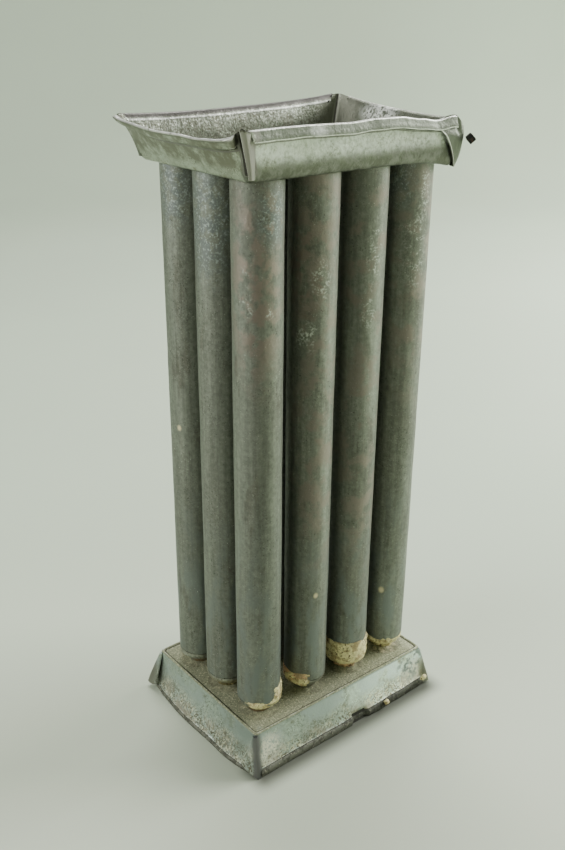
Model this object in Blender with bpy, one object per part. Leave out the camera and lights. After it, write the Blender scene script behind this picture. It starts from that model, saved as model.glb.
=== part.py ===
"""A tinplate candle mould: twelve tubes soldered between a folded tray and a folded base.

Units are metres, +Z is up, and the origin is on the table under the middle of the base.
The long sides lie along X: front is -Y, back is +Y, left is -X and right is +X.
Rows of tubes run a, b, c from front to back, and columns 1 to 4 from left to right.
"""
import math

import bmesh
import bpy
from mathutils import Vector

MM = 0.001

# Sheet and fits
SHEET = 0.6 * MM                 # tinplate of the tray and the base
FIT = 0.3 * MM                   # gap between pieces that touch or are soldered

# Place of both pans' centre, so that the origin is under the middle of the whole outline
MIDDLE = (1.38 * MM, -0.41 * MM)

# Tubes
COLUMN_SPACES = (7.1 * MM, 5.7 * MM, 5.0 * MM)  # clear space between neighbours, at their mouths
ROW_SPACES = (3.9 * MM, 3.0 * MM)
ROW_NAMES = "abc"
ARRAY_CENTRE = (0.4 * MM, -0.6 * MM)
TUBE_LENGTH = 234.8 * MM
TUBE_MOUTH_RADIUS = 10.2 * MM
TUBE_TAPER = 0.3 * MM             # the foot's radius is smaller by this
TUBE_FOOT_RADIUS = TUBE_MOUTH_RADIUS - TUBE_TAPER
TUBE_WALL = 0.5 * MM
TUBE_SIDES = 20
SEAM_WIDTH = 3.6 * MM            # lap of the rolled sheet
MOUTH_STANDING = 1.0 * MM        # tube end above the tray's floor

# Tips
TIP_RISE = 8.5 * MM              # from the base plate to the tube's foot
TIP_SLEEVE = 4.0 * MM            # length that the tip reaches up inside the tube
TIP_WALL = 0.5 * MM
NECK_RADIUS = 5.5 * MM
NECK_TOP = 2.6 * MM              # end of the round shoulder above the base plate
NECK_BELOW = 4.5 * MM            # neck under the base plate's top
TIP_CLOSE = 1.6 * MM             # height of the closing cone round the wick hole
WICK_HOLE_RADIUS = 1.5 * MM
TIP_SIDES = 14

# Solder
SOLDER_SIDES = 12
FOOT_SOLDER_WIDTH = 3.2 * MM
FOOT_SOLDER_HEIGHT = 2.0 * MM
MOUTH_SOLDER_WIDTH = 0.5 * MM
HOLE_SIDES = 12

# Tray
TRAY_MARGINS = (2.8 * MM, 3.5 * MM)    # floor beyond the outer tubes, along X and Y
TRAY_HEIGHT = 18.6 * MM
TRAY_BEND = 1.5 * MM             # height above the floor where the wall starts to lean out
TRAY_CURVE = (1.6 * MM, 5.2 * MM)      # width and height of the soft curve from the floor into the wall
TRAY_FLARE = (4.6 * MM, 2.0 * MM)
TRAY_CORNER = 2.0 * MM
TRAY_BOW = {"left": 3.6 * MM, "front": -1.2 * MM, "right": 0.4 * MM, "back": 0.4 * MM}
TRAY_SAG = {"left": 3.6 * MM, "front": -0.6 * MM, "right": 2.0 * MM, "back": 1.9 * MM}
TRAY_LIFT = {(-1, -1): 0.0, (1, -1): -3.0 * MM, (1, 1): 1.8 * MM, (-1, 1): -0.9 * MM}
TRAY_SPLAY = {(-1, -1): 0.0, (1, -1): -1.6 * MM, (1, 1): 0.0, (-1, 1): 1.8 * MM}
TRAY_DROOP = 3.4 * MM            # the right front corner of the floor hangs down
TRAY_DROOP_CORNER = (1, -1)
TRAY_DROOP_REACH = 4.0 * MM      # width of the floor's edge that hangs
TRAY_HEM = 3.8 * MM
TRAY_HEM_LEAN = 1.5 * MM         # how far the hem's free edge stands off the wall
TRAY_HEM_SPANS = {"left": (-0.93, 0.97), "front": (-0.955, 0.91), "right": (-0.97, 0.88), "back": (-0.92, 0.97)}
TRAY_EAR = 2.2 * MM              # reach of an ear along its side, at the rim
TRAY_EAR_WIDE = 11.0 * MM        # the ear at the right front corner is larger
TRAY_EAR_WRAP = 3.4 * MM         # its soft bend on the side that it comes from
TRAY_EAR_STAND = (0.0, 0.3 * MM, 0.7 * MM)      # how far the bend stands off the corner: foot, middle, top
TRAY_EAR_WIDE_STAND = (0.5 * MM, 2.6 * MM, 0.8 * MM)

# Base
BASE_MARGINS = (2.7 * MM, 5.4 * MM)
BASE_HEIGHT = 21.5 * MM          # top of the plate above the table
BASE_FLARE = (2.6 * MM, 3.2 * MM)
BASE_CORNER = 1.4 * MM
BASE_RIDGE = 0.5 * MM            # raised crease along the plate's edge
BASE_BOW = {"left": 3.0 * MM, "front": 0.8 * MM, "right": 0.6 * MM, "back": 0.8 * MM}
BASE_HEM = 3.4 * MM
BASE_HEM_LEAN = 1.0 * MM
BASE_HEM_SPAN = (-0.97, 0.97)
BASE_EAR = 4.6 * MM
BASE_EAR_WRAP = 1.6 * MM
BASE_EAR_STAND = {(-1, -1): 0.3 * MM, (1, -1): 1.8 * MM, (1, 1): 1.0 * MM, (-1, 1): 2.8 * MM}

# Shared by both pans; a hem's span runs from -1 to 1 along its side
FOLD_WIDTH = 1.5 * MM            # width of the turned edge
FOLD_DROP = 0.3 * MM             # plain edge below the top of the fold
HEM_CUT = 0.012                  # length of the hem's cut end, in the same measure
EAR_THICKNESS = 1.1 * MM
EAR_BELOW = 1.0 * MM             # ear's top below the top of the fold
LONG_STEPS = 4
SHORT_STEPS = 4

# Stub of iron wire in the tray's right front ear
WIRE_SIZE = 3.0 * MM
WIRE_LENGTH = 3.5 * MM
WIRE_DROP = 6.0 * MM             # below the rim
WIRE_LEAN = 1.5                  # how far it is bent down, for each step out

SIDES = {
    "front": (0, -1),
    "right": (1, 0),
    "back": (0, 1),
    "left": (-1, 0),
}


def clear_scene():
    for item in list(bpy.data.objects):
        bpy.data.objects.remove(item, do_unlink=True)


def material(name, colour, roughness, metallic):
    made = bpy.data.materials.new(name)
    made.use_nodes = True
    shader = made.node_tree.nodes["Principled BSDF"]
    shader.inputs["Base Color"].default_value = (*colour, 1.0)
    shader.inputs["Roughness"].default_value = roughness
    shader.inputs["Metallic"].default_value = metallic
    return made


def add_object(name, vertices, faces, surface=None):
    mesh = bpy.data.meshes.new(name)
    mesh.from_pydata([tuple(v) for v in vertices], [], faces)
    mesh.validate()
    item = bpy.data.objects.new(name, mesh)
    bpy.context.scene.collection.objects.link(item)
    if surface:
        mesh.materials.append(surface)
    return item


def orient(item):
    """Turn the faces of a closed mesh outwards."""
    work = bmesh.new()
    work.from_mesh(item.data)
    bmesh.ops.recalc_face_normals(work, faces=work.faces)
    work.to_mesh(item.data)
    work.free()


def smooth(item, angle=35):
    item.data.shade_smooth()
    item.data.set_sharp_from_angle(angle=math.radians(angle))


def lofted(name, rings, closed_along=False, surface=None):
    """Skin rings of equal length, each a closed loop, and cap both ends or join them."""
    count = len(rings[0])
    vertices = [point for ring in rings for point in ring]
    faces = []
    last = len(rings) if closed_along else len(rings) - 1
    for row in range(last):
        following = (row + 1) % len(rings)
        for k in range(count):
            step = (k + 1) % count
            faces.append((row * count + k, row * count + step, following * count + step, following * count + k))
    if not closed_along:
        faces.append(tuple(range(count)))
        faces.append(tuple(range((last) * count, (last + 1) * count)))
    item = add_object(name, vertices, faces, surface)
    orient(item)
    return item


def turned(name, profile, sides, surface):
    """Turn a closed profile of (radius, height) pairs round Z."""
    rings = []
    for k in range(sides):
        angle = 2 * math.pi * k / sides
        rings.append([Vector((r * math.cos(angle), r * math.sin(angle), z)) for r, z in profile])
    item = lofted(name, rings, closed_along=True, surface=surface)
    smooth(item)
    return item


def outside(radius, sides):
    """Corner radius of a polygon whose flats lie on a circle of this radius."""
    return radius / math.cos(math.pi / sides)


def combine(target, tool, operation):
    """Add or cut a shape, and keep the shape as a hidden guide."""
    tool.hide_render = True
    tool.display_type = 'WIRE'
    step = target.modifiers.new(operation.lower() + "_" + tool.name, 'BOOLEAN')
    step.operation = operation
    step.solver = 'EXACT'
    step.object = tool


def axes_along(spaces, centre):
    """Tube axes along one direction, for the clear spaces between them."""
    steps = [space + 2 * TUBE_MOUTH_RADIUS for space in spaces]
    axes = [centre - sum(steps) / 2]
    for step in steps:
        axes.append(axes[-1] + step)
    return axes


def array_places():
    """Name and place of every tube."""
    places = {}
    for row, y in zip(ROW_NAMES, axes_along(ROW_SPACES, MIDDLE[1] + ARRAY_CENTRE[1])):
        for column, x in enumerate(axes_along(COLUMN_SPACES, MIDDLE[0] + ARRAY_CENTRE[0]), start=1):
            places[f"{row}{column}"] = (x, y)
    return places


def foot_z():
    """Height of the tubes' lower ends."""
    return BASE_HEIGHT + TIP_RISE


def tray_z():
    """Height of the underside of the tray's floor."""
    return foot_z() + TUBE_LENGTH - MOUTH_STANDING - SHEET


def half_size(margins):
    """Half length and half width of a pan's flat, from the tubes that it holds."""
    return (
        sum(COLUMN_SPACES) / 2 + (len(COLUMN_SPACES) + 1) * TUBE_MOUTH_RADIUS + margins[0],
        sum(ROW_SPACES) / 2 + (len(ROW_SPACES) + 1) * TUBE_MOUTH_RADIUS + margins[1],
    )


class Pan:
    """The bent sheet of a tray: where its wall lies at each place round it and each height."""

    def __init__(self, half, height, flare, corner, bend, bow, sag, lift, splay, hems, level, up):
        self.half = half
        self.height = height
        self.flare = flare
        self.corner = corner
        self.bend = bend
        self.bow = bow
        self.sag = sag
        self.lift = lift
        self.splay = splay
        self.hems = hems
        self.droop = 0.0
        self.level = level
        self.up = up

    def side_station(self, side, along):
        """Station on a side; along runs from -1 to 1 with X or Y."""
        nx, ny = SIDES[side]
        reach = (self.half[0] - self.corner, self.half[1] - self.corner)
        x = nx * self.half[0] if nx else along * reach[0]
        y = ny * self.half[1] if ny else along * reach[1]
        spread = (nx if nx else along, ny if ny else along)
        return (x, y), spread, (nx, ny), side, 1 - abs(along) ** 3

    def corner_station(self, sx, sy):
        """Station at the middle of a rounded corner."""
        inset = self.corner * (1 - math.sqrt(0.5))
        normal = (sx * math.sqrt(0.5), sy * math.sqrt(0.5))
        place = (sx * (self.half[0] - inset), sy * (self.half[1] - inset))
        return place, (sx, sy), normal, "left", 0.0

    def point(self, station, outset, rise):
        """Point at a rise above the flat, moved outwards from the wall's outer face."""
        (x, y), spread, normal, side, middle = station
        part = min(max((rise - self.bend) / (self.height - self.bend), 0.0), 1.2)
        open_out = part ** 1.6
        bow = self.bow[side] * middle * part ** 1.3
        splay = self.between(self.splay, spread)
        x += ((self.flare[0] + splay) * open_out + outset) * spread[0] + bow * normal[0]
        y += ((self.flare[1] + splay) * open_out + outset) * spread[1] + bow * normal[1]
        z = rise + (self.between(self.lift, spread) - self.sag[side] * middle) * part
        z -= self.droop * self.corner_share(spread) * (1 - min(part, 1.0)) * self.edge_share(outset)
        return Vector((MIDDLE[0] + x, MIDDLE[1] + y, self.level + self.up * z))

    @staticmethod
    def corner_share(spread):
        """How near a place is to the corner that hangs: 1 there, and small a quarter of a side away."""
        cx, cy = TRAY_DROOP_CORNER
        return ((1 + cx * spread[0]) / 2 * (1 + cy * spread[1]) / 2) ** 8

    @staticmethod
    def edge_share(outset):
        """1 at the wall, 0 where the floor starts to hang."""
        return min(max(1 + outset / TRAY_DROOP_REACH, 0.0), 1.0)

    @staticmethod
    def between(corners, spread):
        """Blend of the four corners' values at a place."""
        total = 0.0
        for (sx, sy), amount in corners.items():
            total += amount * (1 + sx * spread[0]) / 2 * (1 + sy * spread[1]) / 2
        return total

    def stations(self):
        """Stations all round, anticlockwise from the left end of the front side, each with or without the hem."""
        found = []
        plan = (("front", 1, (1, -1), LONG_STEPS), ("right", 1, (1, 1), SHORT_STEPS),
                ("back", -1, (-1, 1), LONG_STEPS), ("left", -1, (-1, -1), SHORT_STEPS))
        for side, sense, corner, steps in plan:
            start, end = self.hems[side]
            cuts = [start - HEM_CUT, start, end, end + HEM_CUT]
            even = [2 * k / (steps + 1) - 1 for k in range(steps + 2)]
            places = cuts + [place for place in even if min(abs(place - cut) for cut in cuts) > 0.05]
            for along in sorted(places, reverse=sense < 0):
                found.append((self.side_station(side, along), start <= along <= end))
            found.append((self.corner_station(*corner), False))
        return found


def curve_row(curve, sheet, turn):
    """Row on the soft curve from a flat into its wall: turn 0 is at the flat, and sheet is the depth inside."""
    width, height = curve
    return (width - sheet) * math.sin(turn) - width, height - (height - sheet) * math.cos(turn)


def hem_rows(top, length, lean):
    """The edge turned outwards and folded down to a flat hem, and the plain edge beside it."""
    under = top - SHEET * 1.4
    edge = top - FOLD_DROP
    hem = [
        (0.0, under),
        (FOLD_WIDTH - SHEET * 1.5, under),
        (lean, top - length),
        (lean + SHEET, top - length),
        (FOLD_WIDTH - SHEET * 0.4, top - SHEET),
        (FOLD_WIDTH - SHEET, top),
        (-SHEET, top),
    ]
    steps = len(hem) - 2
    plain = [(0.0, under + (edge - under) * k / steps) for k in range(steps + 1)]
    plain.append((-SHEET, edge))
    return list(zip(hem, plain))


def pan_shell(name, pan, outer, hem, inner, surface):
    """Sweep the sheet's section round the pan: (outset, rise) rows from the flat to the edge and back."""
    stations = pan.stations()
    rows = [(row, row) for row in outer] + hem + [(row, row) for row in inner]
    rings = []
    for folded, plain in rows:
        rings.append([pan.point(station, *(folded if hemmed else plain)) for station, hemmed in stations])
    return lofted(name, rings, surface=surface)


def pan_ear(name, pan, side, end, width, wrap, stand, foot, top):
    """The spare metal of a corner, bent round it and laid against a side.

    End is -1 or 1 along the side; width and wrap are the reach on either side of the corner at the rim,
    and stand is how far the bend springs off the corner, as a curve from its foot to its top.
    """
    nx, ny = SIDES[side]
    corner = (nx, end) if nx else (end, ny)
    neighbour = {(0, -1): "front", (0, 1): "back"}[(0, end)] if nx else {-1: "left", 1: "right"}[end]
    reach = pan.half[1 if nx else 0] - pan.corner
    reach_beside = pan.half[0 if nx else 1] - pan.corner
    bent = pan.corner_station(*corner)
    levels = 4
    rings = []
    for k in range(levels):
        share = k / (levels - 1)
        rise = foot + (top - foot) * share
        free = pan.corner * 0.4 + width * share
        start = pan.corner * 0.2 + wrap * share
        flat = pan.side_station(side, end * (1 - 0.3 * free / reach))
        edge = pan.side_station(side, end * (1 - free / reach))
        beside = pan.side_station(neighbour, (nx if nx else ny) * (1 - start / reach_beside))
        off = stand[0] * (1 - share) ** 2 + 2 * stand[1] * share * (1 - share) + stand[2] * share ** 2
        rings.append([
            pan.point(beside, -SHEET * 0.5, rise),
            pan.point(beside, SHEET * 0.2, rise),
            pan.point(bent, EAR_THICKNESS * 0.5 + off, rise),
            pan.point(flat, EAR_THICKNESS + off * 0.8, rise),
            pan.point(edge, EAR_THICKNESS + off * 0.5, rise),
            pan.point(edge, EAR_THICKNESS - SHEET + off * 0.5, rise),
            pan.point(flat, -SHEET * 0.5, rise),
            pan.point(bent, -SHEET * 0.5, rise),
        ])
    return lofted(name, rings)


def hole_cutter(name, radius, low, high):
    """Round punches for all twelve holes of a pan's flat."""
    corner = outside(radius, HOLE_SIDES)
    work = bmesh.new()
    for x, y in array_places().values():
        made = bmesh.ops.create_cone(work, cap_ends=True, segments=HOLE_SIDES, radius1=corner,
                                     radius2=corner, depth=high - low)
        bmesh.ops.translate(work, verts=made["verts"], vec=(x, y, (low + high) / 2))
    mesh = bpy.data.meshes.new(name)
    work.to_mesh(mesh)
    work.free()
    item = bpy.data.objects.new(name, mesh)
    bpy.context.scene.collection.objects.link(item)
    return item


def tray_pan():
    pan = Pan(half_size(TRAY_MARGINS), TRAY_HEIGHT, TRAY_FLARE, TRAY_CORNER, TRAY_BEND,
              TRAY_BOW, TRAY_SAG, TRAY_LIFT, TRAY_SPLAY, TRAY_HEM_SPANS, tray_z(), 1)
    pan.droop = TRAY_DROOP
    levels = [TRAY_CURVE[1] + (TRAY_HEIGHT - TRAY_CURVE[1]) * share for share in (0, 0.4, 0.8)]
    turns = [math.radians(degrees) for degrees in (0, 18, 50)]
    outer = [(-TRAY_DROOP_REACH, 0.0)] + [curve_row(TRAY_CURVE, 0.0, turn) for turn in turns]
    outer += [(0.0, level) for level in levels]
    inner = [(-SHEET, level) for level in reversed(levels)]
    inner += [curve_row(TRAY_CURVE, SHEET, turn) for turn in reversed(turns)]
    inner.append((-TRAY_DROOP_REACH, SHEET))
    surface = material("tray_tin", (0.30, 0.31, 0.27), 0.42, 0.75)
    tray = pan_shell("tray_pan", pan, outer, hem_rows(TRAY_HEIGHT, TRAY_HEM, TRAY_HEM_LEAN), inner, surface)
    narrow = (TRAY_EAR, TRAY_EAR_STAND)
    ears = (("left", -1, narrow), ("front", 1, (TRAY_EAR_WIDE, TRAY_EAR_WIDE_STAND)), ("right", 1, narrow),
            ("back", -1, narrow))
    for side, end, (width, stand) in ears:
        ear = pan_ear("tray_ear_" + side, pan, side, end, width, TRAY_EAR_WRAP, stand,
                      TRAY_BEND, TRAY_HEIGHT - EAR_BELOW)
        combine(tray, ear, 'UNION')
    punch = hole_cutter("tray_holes", TUBE_MOUTH_RADIUS + FIT, tray_z() - TRAY_DROOP - SHEET, tray_z() + 3 * SHEET)
    combine(tray, punch, 'DIFFERENCE')
    smooth(tray)
    return pan


def base_pan():
    level = {corner: 0.0 for corner in TRAY_LIFT}
    flat = {side: 0.0 for side in SIDES}
    pan = Pan(half_size(BASE_MARGINS), BASE_HEIGHT, BASE_FLARE, BASE_CORNER, SHEET,
              BASE_BOW, flat, level, level, {side: BASE_HEM_SPAN for side in SIDES}, BASE_HEIGHT, -1)
    levels = [SHEET + (BASE_HEIGHT - SHEET) * share for share in (0, 0.35, 0.65, 0.85)]
    outer = [(-3.4 * SHEET, 0.0), (-2.2 * SHEET, -BASE_RIDGE), (-0.8 * SHEET, -BASE_RIDGE)]
    outer += [(0.0, rise) for rise in levels]
    inner = [(-SHEET, rise) for rise in reversed(levels[1:])]
    inner += [(-SHEET, SHEET * 1.6), (-3.4 * SHEET, SHEET)]
    surface = material("base_tin", (0.27, 0.29, 0.27), 0.5, 0.7)
    base = pan_shell("base_pan", pan, outer, hem_rows(BASE_HEIGHT, BASE_HEM, BASE_HEM_LEAN), inner, surface)
    for side in ("left", "right"):
        for end in (-1, 1):
            spring = BASE_EAR_STAND[(SIDES[side][0], end)]
            stand = (0.0, spring * 0.8, spring)
            ear = pan_ear(f"base_ear_{side}_{end + 1}", pan, side, end, BASE_EAR, BASE_EAR_WRAP, stand,
                          2 * SHEET, BASE_HEIGHT - EAR_BELOW)
            combine(base, ear, 'UNION')
    punch = hole_cutter("base_holes", NECK_RADIUS + FIT, BASE_HEIGHT - 3 * SHEET, BASE_HEIGHT + 3 * SHEET)
    combine(base, punch, 'DIFFERENCE')
    smooth(base)


def tube_ring(radius, height, seam_angle, seam):
    """Outline of a rolled sheet, with its lap standing one wall proud where seam is 1."""
    ring = []
    lap = SEAM_WIDTH / radius
    for k in range(TUBE_SIDES):
        angle = seam_angle + lap + (2 * math.pi - lap) * k / (TUBE_SIDES - 1)
        ring.append((radius, angle))
    ring.append((radius + TUBE_WALL * seam, seam_angle + lap * 0.02))
    ring.append((radius + TUBE_WALL * seam, seam_angle + lap * 0.7))
    return [Vector((r * math.cos(a), r * math.sin(a), height)) for r, a in ring]


def tube(name, place):
    """A tube of rolled sheet, its lap seam turned to the middle of the mould."""
    seam_angle = math.atan2(MIDDLE[1] + ARRAY_CENTRE[1] - place[1], MIDDLE[0] + ARRAY_CENTRE[0] - place[0])
    below = TUBE_LENGTH - MOUTH_STANDING - SHEET - 1.2 * MM
    bore_foot = TUBE_FOOT_RADIUS - TUBE_WALL
    bore_mouth = TUBE_MOUTH_RADIUS - TUBE_WALL
    rings = [
        tube_ring(TUBE_FOOT_RADIUS, 0.0, seam_angle, 1),
        tube_ring(TUBE_MOUTH_RADIUS, below, seam_angle, 1),
        tube_ring(TUBE_MOUTH_RADIUS, below + TUBE_WALL, seam_angle, 0),
        tube_ring(TUBE_MOUTH_RADIUS, TUBE_LENGTH, seam_angle, 0),
        tube_ring(bore_mouth, TUBE_LENGTH, seam_angle, 0),
        tube_ring(bore_foot, 0.0, seam_angle, 0),
    ]
    surface = material(name + "_tin", (0.17, 0.18, 0.15), 0.5, 0.6)
    item = lofted("tube_" + name, rings, closed_along=True, surface=surface)
    smooth(item)
    item.location = (place[0], place[1], foot_z())


def tip_profile():
    """Section of a tip: sleeve, round shoulder, neck, closing cone and wick hole; 0 is the plate's top."""
    sleeve = (TUBE_FOOT_RADIUS - TUBE_WALL) * math.cos(math.pi / TUBE_SIDES) - FIT
    seat = TIP_RISE - FIT
    drop = seat - NECK_TOP
    fall = TUBE_FOOT_RADIUS - NECK_RADIUS
    outer = [(sleeve, TIP_RISE + TIP_SLEEVE), (sleeve, seat), (TUBE_FOOT_RADIUS, seat)]
    for degrees in (35, 65):
        turn = math.radians(degrees)
        outer.append((NECK_RADIUS + fall * math.cos(turn), seat - drop * math.sin(turn)))
    outer += [(NECK_RADIUS, NECK_TOP), (NECK_RADIUS, -NECK_BELOW), (WICK_HOLE_RADIUS, -NECK_BELOW - TIP_CLOSE)]
    inner = [
        (WICK_HOLE_RADIUS, -NECK_BELOW - TIP_CLOSE + TIP_WALL * 1.2),
        (NECK_RADIUS - TIP_WALL, -NECK_BELOW),
        (NECK_RADIUS - TIP_WALL, NECK_TOP - TIP_WALL * 0.4),
        (sleeve - TIP_WALL, seat - drop * 0.35),
        (sleeve - TIP_WALL, TIP_RISE + TIP_SLEEVE),
    ]
    return outer + inner


def tips(places):
    first = None
    for name, (x, y) in places.items():
        surface = material(name + "_tip_tin", (0.20, 0.20, 0.16), 0.55, 0.6)
        if first is None:
            first = turned("tip_" + name, tip_profile(), TIP_SIDES, surface)
            item = first
        else:
            item = bpy.data.objects.new("tip_" + name, first.data)
            bpy.context.scene.collection.objects.link(item)
        item.location = (x, y, BASE_HEIGHT)


def solder_rings(places, prefix, profile, level, colour):
    """One ring of solder for each tube, of a closed profile with its foot at the level."""
    first = None
    for name, (x, y) in places.items():
        if first is None:
            surface = material(prefix + "_lead", colour, 0.6, 0.5)
            first = turned(prefix + "_" + name, profile, SOLDER_SIDES, surface)
            item = first
        else:
            item = bpy.data.objects.new(prefix + "_" + name, first.data)
            bpy.context.scene.collection.objects.link(item)
        item.location = (x, y, level)


def foot_solder(places):
    """Fillets where the necks go through the base plate."""
    inside = outside(NECK_RADIUS + FIT, SOLDER_SIDES)
    profile = [
        (inside, 0.0),
        (inside + FOOT_SOLDER_WIDTH, 0.0),
        (inside, FOOT_SOLDER_HEIGHT),
    ]
    solder_rings(places, "foot_solder", profile, BASE_HEIGHT + FIT, (0.25, 0.23, 0.18))


def mouth_solder(places):
    """Fillets round the tube mouths on the tray's floor."""
    inside = outside(TUBE_MOUTH_RADIUS + FIT * 0.8, SOLDER_SIDES)
    profile = [
        (inside, 0.0),
        (inside + MOUTH_SOLDER_WIDTH, 0.0),
        (inside, MOUTH_STANDING - FIT),
    ]
    solder_rings(places, "mouth_solder", profile, tray_z() + SHEET + FIT, (0.33, 0.33, 0.30))


def corner_wire(pan):
    """A cut-off stub of square iron wire, bent down beside the tray's right front ear."""
    station = pan.corner_station(*TRAY_DROOP_CORNER)
    across = Vector((1, 1, 0)).normalized()
    away = Vector((1, -1, 0)).normalized()
    out = Vector((1, -1, -WIRE_LEAN)).normalized()
    up = out.cross(across)
    spring = TRAY_EAR_WIDE_STAND[1] * 0.6
    face = pan.point(station, EAR_THICKNESS * 0.5 + spring, TRAY_HEIGHT - WIRE_DROP)
    start = face + away * (FIT - WIRE_SIZE / 2 * out.z)    # its lower corner lies at the ear
    rings = []
    for along, size in ((0.0, 0.8), (0.2, 1.0), (0.9, 1.0), (1.0, 0.85)):
        middle = start + out * (WIRE_LENGTH * along)
        half = WIRE_SIZE * size / 2
        corners = ((-1, -1), (1, -1), (1, 1), (-1, 1))
        rings.append([middle + across * half * a + up * half * b for a, b in corners])
    lofted("corner_wire", rings, surface=material("wire_iron", (0.01, 0.01, 0.012), 0.7, 0.3))


def build():
    clear_scene()
    places = array_places()
    tray = tray_pan()
    base_pan()
    for name, place in places.items():
        tube(name, place)
    tips(places)
    foot_solder(places)
    mouth_solder(places)
    corner_wire(tray)


build()
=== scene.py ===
"""Candle mould of tarnished tinplate: twelve tubes soldered between a folded base and a folded tray."""
import math

import bmesh
import bpy
from mathutils import Matrix, Vector, noise
from mathutils.kdtree import KDTree


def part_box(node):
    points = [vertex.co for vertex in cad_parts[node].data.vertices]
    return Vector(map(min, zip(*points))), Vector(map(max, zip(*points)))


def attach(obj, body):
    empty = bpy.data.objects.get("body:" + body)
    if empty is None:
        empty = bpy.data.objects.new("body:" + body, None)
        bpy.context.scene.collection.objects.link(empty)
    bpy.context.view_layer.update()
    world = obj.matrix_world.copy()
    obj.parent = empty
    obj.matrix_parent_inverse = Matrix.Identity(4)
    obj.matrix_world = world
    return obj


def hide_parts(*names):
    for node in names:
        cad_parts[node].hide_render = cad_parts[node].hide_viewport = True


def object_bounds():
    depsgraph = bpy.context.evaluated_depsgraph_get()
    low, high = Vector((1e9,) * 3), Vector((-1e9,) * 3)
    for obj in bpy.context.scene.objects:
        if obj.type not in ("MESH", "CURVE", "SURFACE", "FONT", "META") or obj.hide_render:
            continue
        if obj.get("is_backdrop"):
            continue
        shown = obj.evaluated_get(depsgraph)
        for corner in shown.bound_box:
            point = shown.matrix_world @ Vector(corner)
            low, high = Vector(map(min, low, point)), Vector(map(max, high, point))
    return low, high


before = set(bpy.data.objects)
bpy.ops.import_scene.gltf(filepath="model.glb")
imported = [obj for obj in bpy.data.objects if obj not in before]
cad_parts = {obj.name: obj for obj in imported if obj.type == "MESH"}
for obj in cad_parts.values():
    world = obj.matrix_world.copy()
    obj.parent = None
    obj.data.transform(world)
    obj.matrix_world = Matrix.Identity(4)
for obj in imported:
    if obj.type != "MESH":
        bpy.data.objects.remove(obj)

cad_box = [list(corner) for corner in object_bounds()]

# The base. One sheet of tinplate folded down on four sides like a shallow box, its lower edge rolled in
# where it stands on the table, its spare corners folded into ears that lie against the short sides.
# The plate is dusty, the skirt bluish and stained near the table. Light and shade are painted on its lit edges,
# its front, its ears, its crease and the rolled-in band at its foot.
MM = 0.001                       # shapes are worked out in millimetres
MIDDLE = (1.38, -0.41)           # of the base and the tray
BASE_HEIGHT = 21.5
SHEET = 0.6
EAR_SHEET = 0.5
NECK_HOLE = 5.8                  # radius
SHARP_ANGLE = 40                 # degrees
SIDES = {"front": (0, -1), "right": (1, 0), "back": (0, 1), "left": (-1, 0)}
TUBES = {}
for row in "abc":
    for column in range(1, 5):
        low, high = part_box(f"tip_{row}{column}")
        TUBES[f"{row}{column}"] = ((low[0] + high[0]) / 2 / MM, (low[1] + high[1]) / 2 / MM)


def clamp(value, low=0.0, high=1.0):
    """The value kept between two limits."""
    return min(max(value, low), high)


def eased(value):
    """The value kept between 0 and 1, with a soft start and end."""
    value = clamp(value)
    return value * value * (3 - 2 * value)


def placed(name, data):
    """A new object in the scene."""
    item = bpy.data.objects.new(name, data)
    bpy.context.scene.collection.objects.link(item)
    return item


def plain_mesh(name, points, faces):
    """A mesh from points and faces."""
    mesh = bpy.data.meshes.new(name)
    mesh.from_pydata([tuple(point) for point in points], [], faces)
    return mesh


def settled(item):
    """The mesh that an object's modifiers make of it."""
    return bpy.data.meshes.new_from_object(item.evaluated_get(bpy.context.evaluated_depsgraph_get()))


def add(tree, kind, inputs=None, **settings):
    """Add a node, set its properties and feed its inputs from sockets or plain values."""
    made = tree.nodes.new(kind)
    for key, value in settings.items():
        setattr(made, key, value)
    for key, value in (inputs or {}).items():
        if isinstance(value, bpy.types.NodeSocket):
            tree.links.new(value, made.inputs[key])
        else:
            made.inputs[key].default_value = value
    return made


def calc(tree, operation, *values):
    """One Math node."""
    return add(tree, "ShaderNodeMath", dict(enumerate(values)), operation=operation).outputs[0]


def vector(tree, operation, first, second):
    """One Vector Math node; a vector is scaled by a number."""
    inputs = {0: first, "Scale" if operation == 'SCALE' else 1: second}
    return add(tree, "ShaderNodeVectorMath", inputs, operation=operation).outputs[0]


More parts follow.
